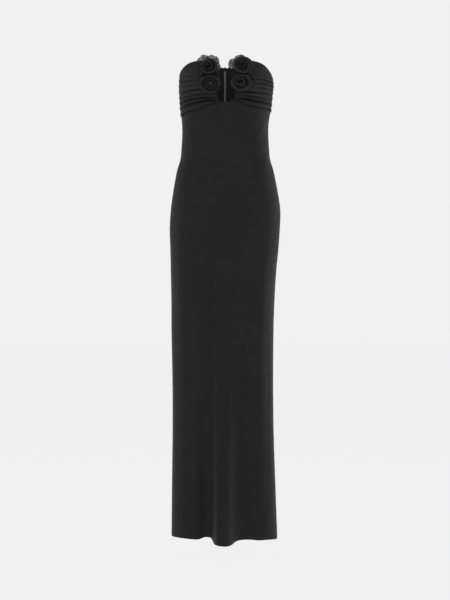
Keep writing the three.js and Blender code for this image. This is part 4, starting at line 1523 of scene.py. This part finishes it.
ROSES = (
    Rose(
        "rose_upper_left", -39.8, 42.1, 23.2, 23.6, 2.3, 1, 0.6, 0.5, 0.66, 0.14, (-6, 0), 0,
        (
            Petal("petal_left_1", -24, 44, 28.5, 1.5, 0, 2.4, 0.4),
            Petal("petal_left_2", 28, 112, 34, 2.5, 1, 3.1, 1.9),
            Petal("petal_left_3", 98, 172, 37, 3, 2, 2.6, 3.0),
            Petal("petal_left_4", 178, 236, 33, 4, 2, 2.0, 4.4),
        ),
        0.9, 0.7,
    ),
    Rose(
        "rose_upper_right", 44.9, 45.4, 27.7, 26.6, 2.9, -1, 4.7, 0.5, 0.52, 0.1, (-3.5, 5), 0,
        (
            Petal("petal_right_1", 138, 196, 38, 1.5, 0, 1.6, 0.9),
            Petal("petal_right_2", 66, 146, 32.5, 3, 1, 2.8, 2.4),
            Petal("petal_right_3", 10, 60, 30, 5, 1, 2.2, 5.1),
        ),
        0.5, 2.1,
    ),
    Rose("rose_lower_left", -40.2, 0.1, 30.3, 24, 2.7, 1, 2.78, 0.55, 0.7, 0.3, (0, 1), 0.27, (), 0.6, 1.3),
    Rose(
        "rose_lower_right", 45.4, 2, 30.5, 23.8, 2.5, -1, 3.75, 0.48, 0.7, 0.14, (-6, 8), 0,
        (Petal("petal_curl", 10, 62, 35, 11, 0, 1.2, 0.3, sheer=False),),
        0.8, 4.2,
    ),
)


@dataclass(frozen=True)
class Zip:
    """Centre-back zip: woven tape and two meshed coils inside, slider and pull at the top."""

    half: float = 12.0
    tape: float = 0.8
    clear: float = 0.6
    top: float = 64.0
    bottom: float = -306.0
    pitch: float = 1.5
    loop_half: float = 1.9
    loop_deep: float = 0.62
    wire: float = 0.42
    mesh_in: float = 0.9
    cord_out: float = 0.2
    cord_radius: float = 0.75
    slider_top: float = 74.0
    slider_clear: float = 0.45
    neck_half: float = 0.7
    body_half: float = 3.4
    body_high: float = 8.4
    body_thick: float = 2.6
    plate_half: float = 2.6
    plate_drop: float = 7.0
    plate_thick: float = 1.4
    ear_inner: float = 1.65
    ear_reach: float = 5.8
    pin_radius: float = 0.6
    pin_over: float = 0.75
    pin_reach: float = 3.7
    pin_drop: float = 2.5
    ring: float = 1.75
    bore: float = 1.0
    ring_half: float = 1.25
    tab_half: float = 2.6
    tab_length: float = 19.0
    tab_thick: float = 1.0

    @property
    def seat(self) -> float:
        """Depth of the centre back where the slider sits."""
        return float(FORM.point(np.asarray(math.pi), np.asarray(self.slider_top - self.plate_drop / 2))[1])

    def inside(self, across: Array, height: Array, deep: Array) -> Array:
        """Places behind the back panels, by the distance from the centre back, height and depth inward."""
        half = float(FORM.body.read("half", self.top))
        angle = math.pi - across / half
        return FORM.point(angle, height) - FORM.outward(angle, height) * np.asarray(deep)[..., None]

    def coil(self, side: int) -> Part:
        """One of the two coils: a flattened helix whose loops reach between the other's."""
        turns = (self.top - 1.5 - self.bottom) / self.pitch
        steps = np.linspace(0, turns, int(turns * 10))
        turn = TURN * steps
        across = side * (self.loop_half - self.mesh_in) + self.loop_half * np.cos(turn)
        height = self.bottom + 1 + (steps + (0.5 if side > 0 else 0)) * self.pitch
        deep = FORM.wall + self.clear + self.tape + self.wire + self.loop_deep * (1 + np.sin(turn))
        return Tube(self.inside(across, height, deep), self.wire, 5).rings()

    def cord(self, side: int) -> Part:
        """The filler cord that is sewn through one coil and fills the middle of its loops."""
        height = np.linspace(self.top - 2, self.bottom + 1, 160)
        across = np.full_like(height, side * (self.loop_half - self.mesh_in + self.cord_out))
        deep = np.full_like(height, FORM.wall + self.clear + self.tape + self.wire + self.loop_deep)
        return Tube(self.inside(across, height, deep), self.cord_radius, 8).rings()

    def box(self, low: tuple[float, float, float], high: tuple[float, float, float], soft: float) -> Part:
        """A box with rounded edges, as a sphere's directions pushed out to the box inset by the rounding.

        Args:
            low: lowest corner.
            high: highest corner.
            soft: radius of its edges.

        Returns:
            Points, faces and flat positions.
        """
        tilt = np.linspace(-QUARTER, QUARTER, 18)
        turn = np.linspace(0, TURN, 32, endpoint=False) + math.pi / 32
        tilt, turn = np.meshgrid(tilt, turn, indexing="ij")
        ball = np.stack([np.cos(tilt) * np.cos(turn), np.cos(tilt) * np.sin(turn), np.sin(tilt)], axis=-1)
        centre, half = (np.add(low, high)) / 2, np.subtract(high, low) / 2 - soft
        side = np.sign(ball) * np.minimum(np.abs(ball) * 6, 1)
        points = centre + side * half + ball * soft
        uv = np.stack([turn, tilt], axis=-1)
        return points.reshape(-1, 3), grid_faces(18, 32, closed=True)[:, ::-1], uv.reshape(-1, 2)

    def turned(self, profile: tuple[tuple[float, float], ...], y: float, z: float) -> Part:
        """A piece turned about the pin's axis from pairs of distance along it and radius."""
        pairs = np.array(profile)
        turn = np.linspace(0, TURN, 40, endpoint=False)
        across = np.broadcast_to(pairs[:, :1], (len(pairs), 40))
        up = pairs[:, 1:] * np.cos(turn)
        deep = pairs[:, 1:] * np.sin(turn)
        points = np.stack([across, y - deep, z + up], axis=-1)
        faces = grid_faces(len(pairs), 40, closed=True)[:, ::-1]
        return points.reshape(-1, 3), faces, np.stack([across, up], axis=-1).reshape(-1, 2)

    def slider(self) -> bpy.types.Object:
        """The slider: inner body, neck, outer plate, two ears and the pin, all with soft cast edges."""
        inner = self.seat - FORM.wall - self.slider_clear
        outer = self.seat + self.slider_clear
        plate = outer + self.plate_thick
        top = self.slider_top
        pin_end = self.ear_inner + self.pin_over
        pin, soft = self.pin_radius, self.pin_radius - 0.1
        parts = [
            self.box(
                (-self.body_half, inner - self.body_thick, top + 1 - self.body_high),
                (self.body_half, inner, top + 1), 0.7,
            ),
            self.box((-self.neck_half, inner - 0.5, top - 2.4), (self.neck_half, outer + 0.5, top + 1), 0.3),
            self.box((-self.plate_half, outer, top - self.plate_drop), (self.plate_half, plate, top + 1), 0.5),
            self.turned(
                ((-pin_end, 0.02), (-pin_end, soft), (-pin_end + 0.1, pin), (pin_end - 0.1, pin),
                 (pin_end, soft), (pin_end, 0.02)),
                outer + self.pin_reach, top - self.pin_drop,
            ),
        ]
        for side in Side:
            edges = sorted((side.value * self.ear_inner, side.value * self.plate_half))
            low, high = (edges[0], plate - 0.4, top - 4.4), (edges[1], outer + self.ear_reach, top - 0.6)
            parts.append(self.box(low, high, 0.4))
        return joined("zip_slider_body", parts)

    def pull(self) -> bpy.types.Object:
        """The pull: a ring round the pin and a long tongue with a rounded, slightly raised rim."""
        y, z = self.seat + self.slider_clear + self.pin_reach, self.slider_top - self.pin_drop
        half, soft = self.ring_half, 0.2
        ring = (
            (-half, self.bore), (-half, self.ring - soft), (-half + soft, self.ring), (half - soft, self.ring),
            (half, self.ring - soft), (half, self.bore), (-half, self.bore),
        )

        def tongue(across: Array, down: Array) -> Array:
            """Half width grows from the neck to the tab with a smooth step, and the end is a half circle."""
            drop = self.ring - 0.45 + down * (self.tab_length - self.ring + 0.45)
            wide = mix(self.ring_half, self.tab_half, ease(drop, 3.2, 7.5))
            end = np.clip((drop - (self.tab_length - self.tab_half)) / self.tab_half, 0, 1)
            wide = wide * np.sqrt(np.maximum(1 - end**2, 0.0009))
            dish = -0.12 * bell(across, 0.62, 4) * ease(down, 0.28, 0.4)
            return np.stack([-across * wide, y + self.tab_thick / 2 + dish, z - drop], axis=-1)

        parts = [self.turned(ring, y, z)]
        wall, _ = Wall(tongue, 1, self.tab_thick).build(
            "zip_pull_tongue", 2 * spaced(22, 5, 0.35) - 1, spaced(60, 17, 0.35)
        )
        points = np.empty(len(wall.data.vertices) * 3)
        wall.data.vertices.foreach_get("co", points)
        faces = np.empty(len(wall.data.polygons) * 4, np.int32)
        wall.data.polygons.foreach_get("vertices", faces)
        flat = points.reshape(-1, 3) / MM
        bpy.data.objects.remove(wall)
        parts.append((flat, faces.reshape(-1, 4), flat[:, [0, 2]] / UV_UNIT))
        return joined("zip_pull_tab", parts)

    def build(self, dresser: Dresser) -> None:
        """Makes and finishes the zip."""
        def band(across: Array, share: Array) -> Array:
            return self.inside(-across, mix(self.top, self.bottom, share), FORM.wall + self.clear)

        across = self.half * (2 * spaced(30, 2 * self.half, 0.4) - 1)
        wall = Wall(band, -1, self.tape)
        tape, _ = wall.build("zip_tape_band", across, spaced(150, self.top - self.bottom, 0.4))
        cut = (2 * self.half * MM, (self.top - self.bottom) * MM)
        dresser.dress(tape, TAPE, "zip_tape", cloth=Cloth(cut, "hung", ("back_left_cloth", "back_right_cloth")))
        dresser.dress(joined("zip_coil", [self.coil(-1), self.coil(1), self.cord(-1), self.cord(1)]), COIL)
        dresser.dress(self.slider(), METAL, "zip_slider")
        dresser.dress(self.pull(), METAL, "zip_pull", body="pull")


@dataclass(frozen=True)
class SoftBox:
    """A large soft light that faces a place on the dress."""

    name: str
    at: tuple[float, float, float]
    toward: tuple[float, float, float]
    wide: float
    high: float
    watts: float

    def build(self) -> None:
        """Makes the light."""
        data = bpy.data.lights.new(self.name, "AREA")
        data.shape = "RECTANGLE"
        data.size, data.size_y, data.energy = self.wide, self.high, self.watts
        light = bpy.data.objects.new(self.name, data)
        light.location = self.at
        light.rotation_euler = (Vector(self.toward) - Vector(self.at)).to_track_quat("-Z", "Y").to_euler()
        bpy.context.scene.collection.objects.link(light)


@dataclass(frozen=True)
class Studio:
    """Pale round floor whose far rim turns up, soft lights and the camera at the picture's own distance."""

    camera_at: tuple[float, float, float] = (0.0, -4.0, -0.5712)
    lens: float = 88.235
    sensor: float = 36.0
    backdrop_glow: float = 0.865
    backdrop_tone: float = 0.03
    floor: float = -1262.0
    rings: tuple[float, ...] = (1.0, 4000.0, 12000.0)
    far: float = 24000.0
    bend: float = 3000.0
    rim: float = 7000.0
    sides: int = 96
    world: float = 0.06
    lights: tuple[SoftBox, ...] = (
        SoftBox("key_left", (-2.4, -1.7, 0.9), (0, 0, -0.5), 0.7, 1.6, 10),
        SoftBox("key_right", (2.4, -1.7, 0.7), (0, 0, -0.5), 0.7, 1.6, 10),
        SoftBox("top_soft", (-0.2, -1.5, 2.8), (0, 0, -0.3), 0.8, 0.8, 31),
        SoftBox("side_left", (-1.7, 1.1, -0.4), (0, 0, -0.5), 0.5, 2.2, 6),
        SoftBox("side_right", (1.7, 1.0, -0.5), (0, 0, -0.6), 0.6, 2.4, 14),
    )

    def build(self) -> None:
        """Makes the backdrop, the lights, the world and the camera."""
        turn = np.linspace(0, QUARTER, 12)
        reach = np.concatenate([self.rings, self.far + self.bend * np.sin(turn), [self.far + self.bend]])
        flat = [self.floor] * len(self.rings)
        z = np.concatenate([flat, self.floor + self.bend * (1 - np.cos(turn)), [self.rim]])
        around = np.arange(self.sides) * TURN / self.sides
        x, y = reach[:, None] * np.cos(around), reach[:, None] * np.sin(around)
        points = np.stack(np.broadcast_arrays(x, y, z[:, None]), axis=-1).reshape(-1, 3)
        faces = grid_faces(len(reach), self.sides, closed=True)
        sweep = mesh_object("backdrop", points, faces, points[:, :2] / UV_UNIT)
        graph = Graph("backdrop")
        paint = graph.noise(graph.place(), 3.0)
        sweep.data.materials.append(graph.finish({
            "Base Color": graph.mixed(paint, (self.backdrop_tone,) * 3, (self.backdrop_tone * 1.01,) * 3),
            "Roughness": 1.0,
            "Specular IOR Level": 0.0,
            "Emission Color": grey(self.backdrop_glow),
            "Emission Strength": 1.0,
        }))
        for light in self.lights:
            light.build()
        world = bpy.data.worlds.new("studio")
        bpy.context.scene.world = world
        world.use_nodes = True
        world.node_tree.nodes["Background"].inputs["Color"].default_value = grey(self.world)
        data = bpy.data.cameras.new("camera")
        data.lens, data.sensor_width = self.lens, self.sensor
        camera = bpy.data.objects.new("camera", data)
        camera.location = self.camera_at
        camera.rotation_euler = (QUARTER, 0, 0)
        bpy.context.scene.collection.objects.link(camera)
        bpy.context.scene.camera = camera
        bpy.context.scene.view_settings.view_transform = "Standard"


def main() -> None:
    """Makes the dress and its studio."""
    logging.basicConfig(level=logging.INFO, format="%(name)s: %(message)s")
    dresser = Dresser()
    Studio().build()
    FrontPanel().build(dresser)
    BackPanel(Side.RIGHT, BACK_CREASES).build(dresser)
    BackPanel(Side.LEFT, tuple(mirrored(crease, 4.0, 0.94) for crease in BACK_CREASES)).build(dresser)
    for backing in SEAM_BACKINGS:
        backing.build(dresser)
    for cup in CUPS.values():
        cup.build(dresser)
    KeyholeTrim().build(dresser)
    for rose in ROSES:
        rose.build(dresser)
    Zip().build(dresser)


if __name__ == "__main__":
    main()
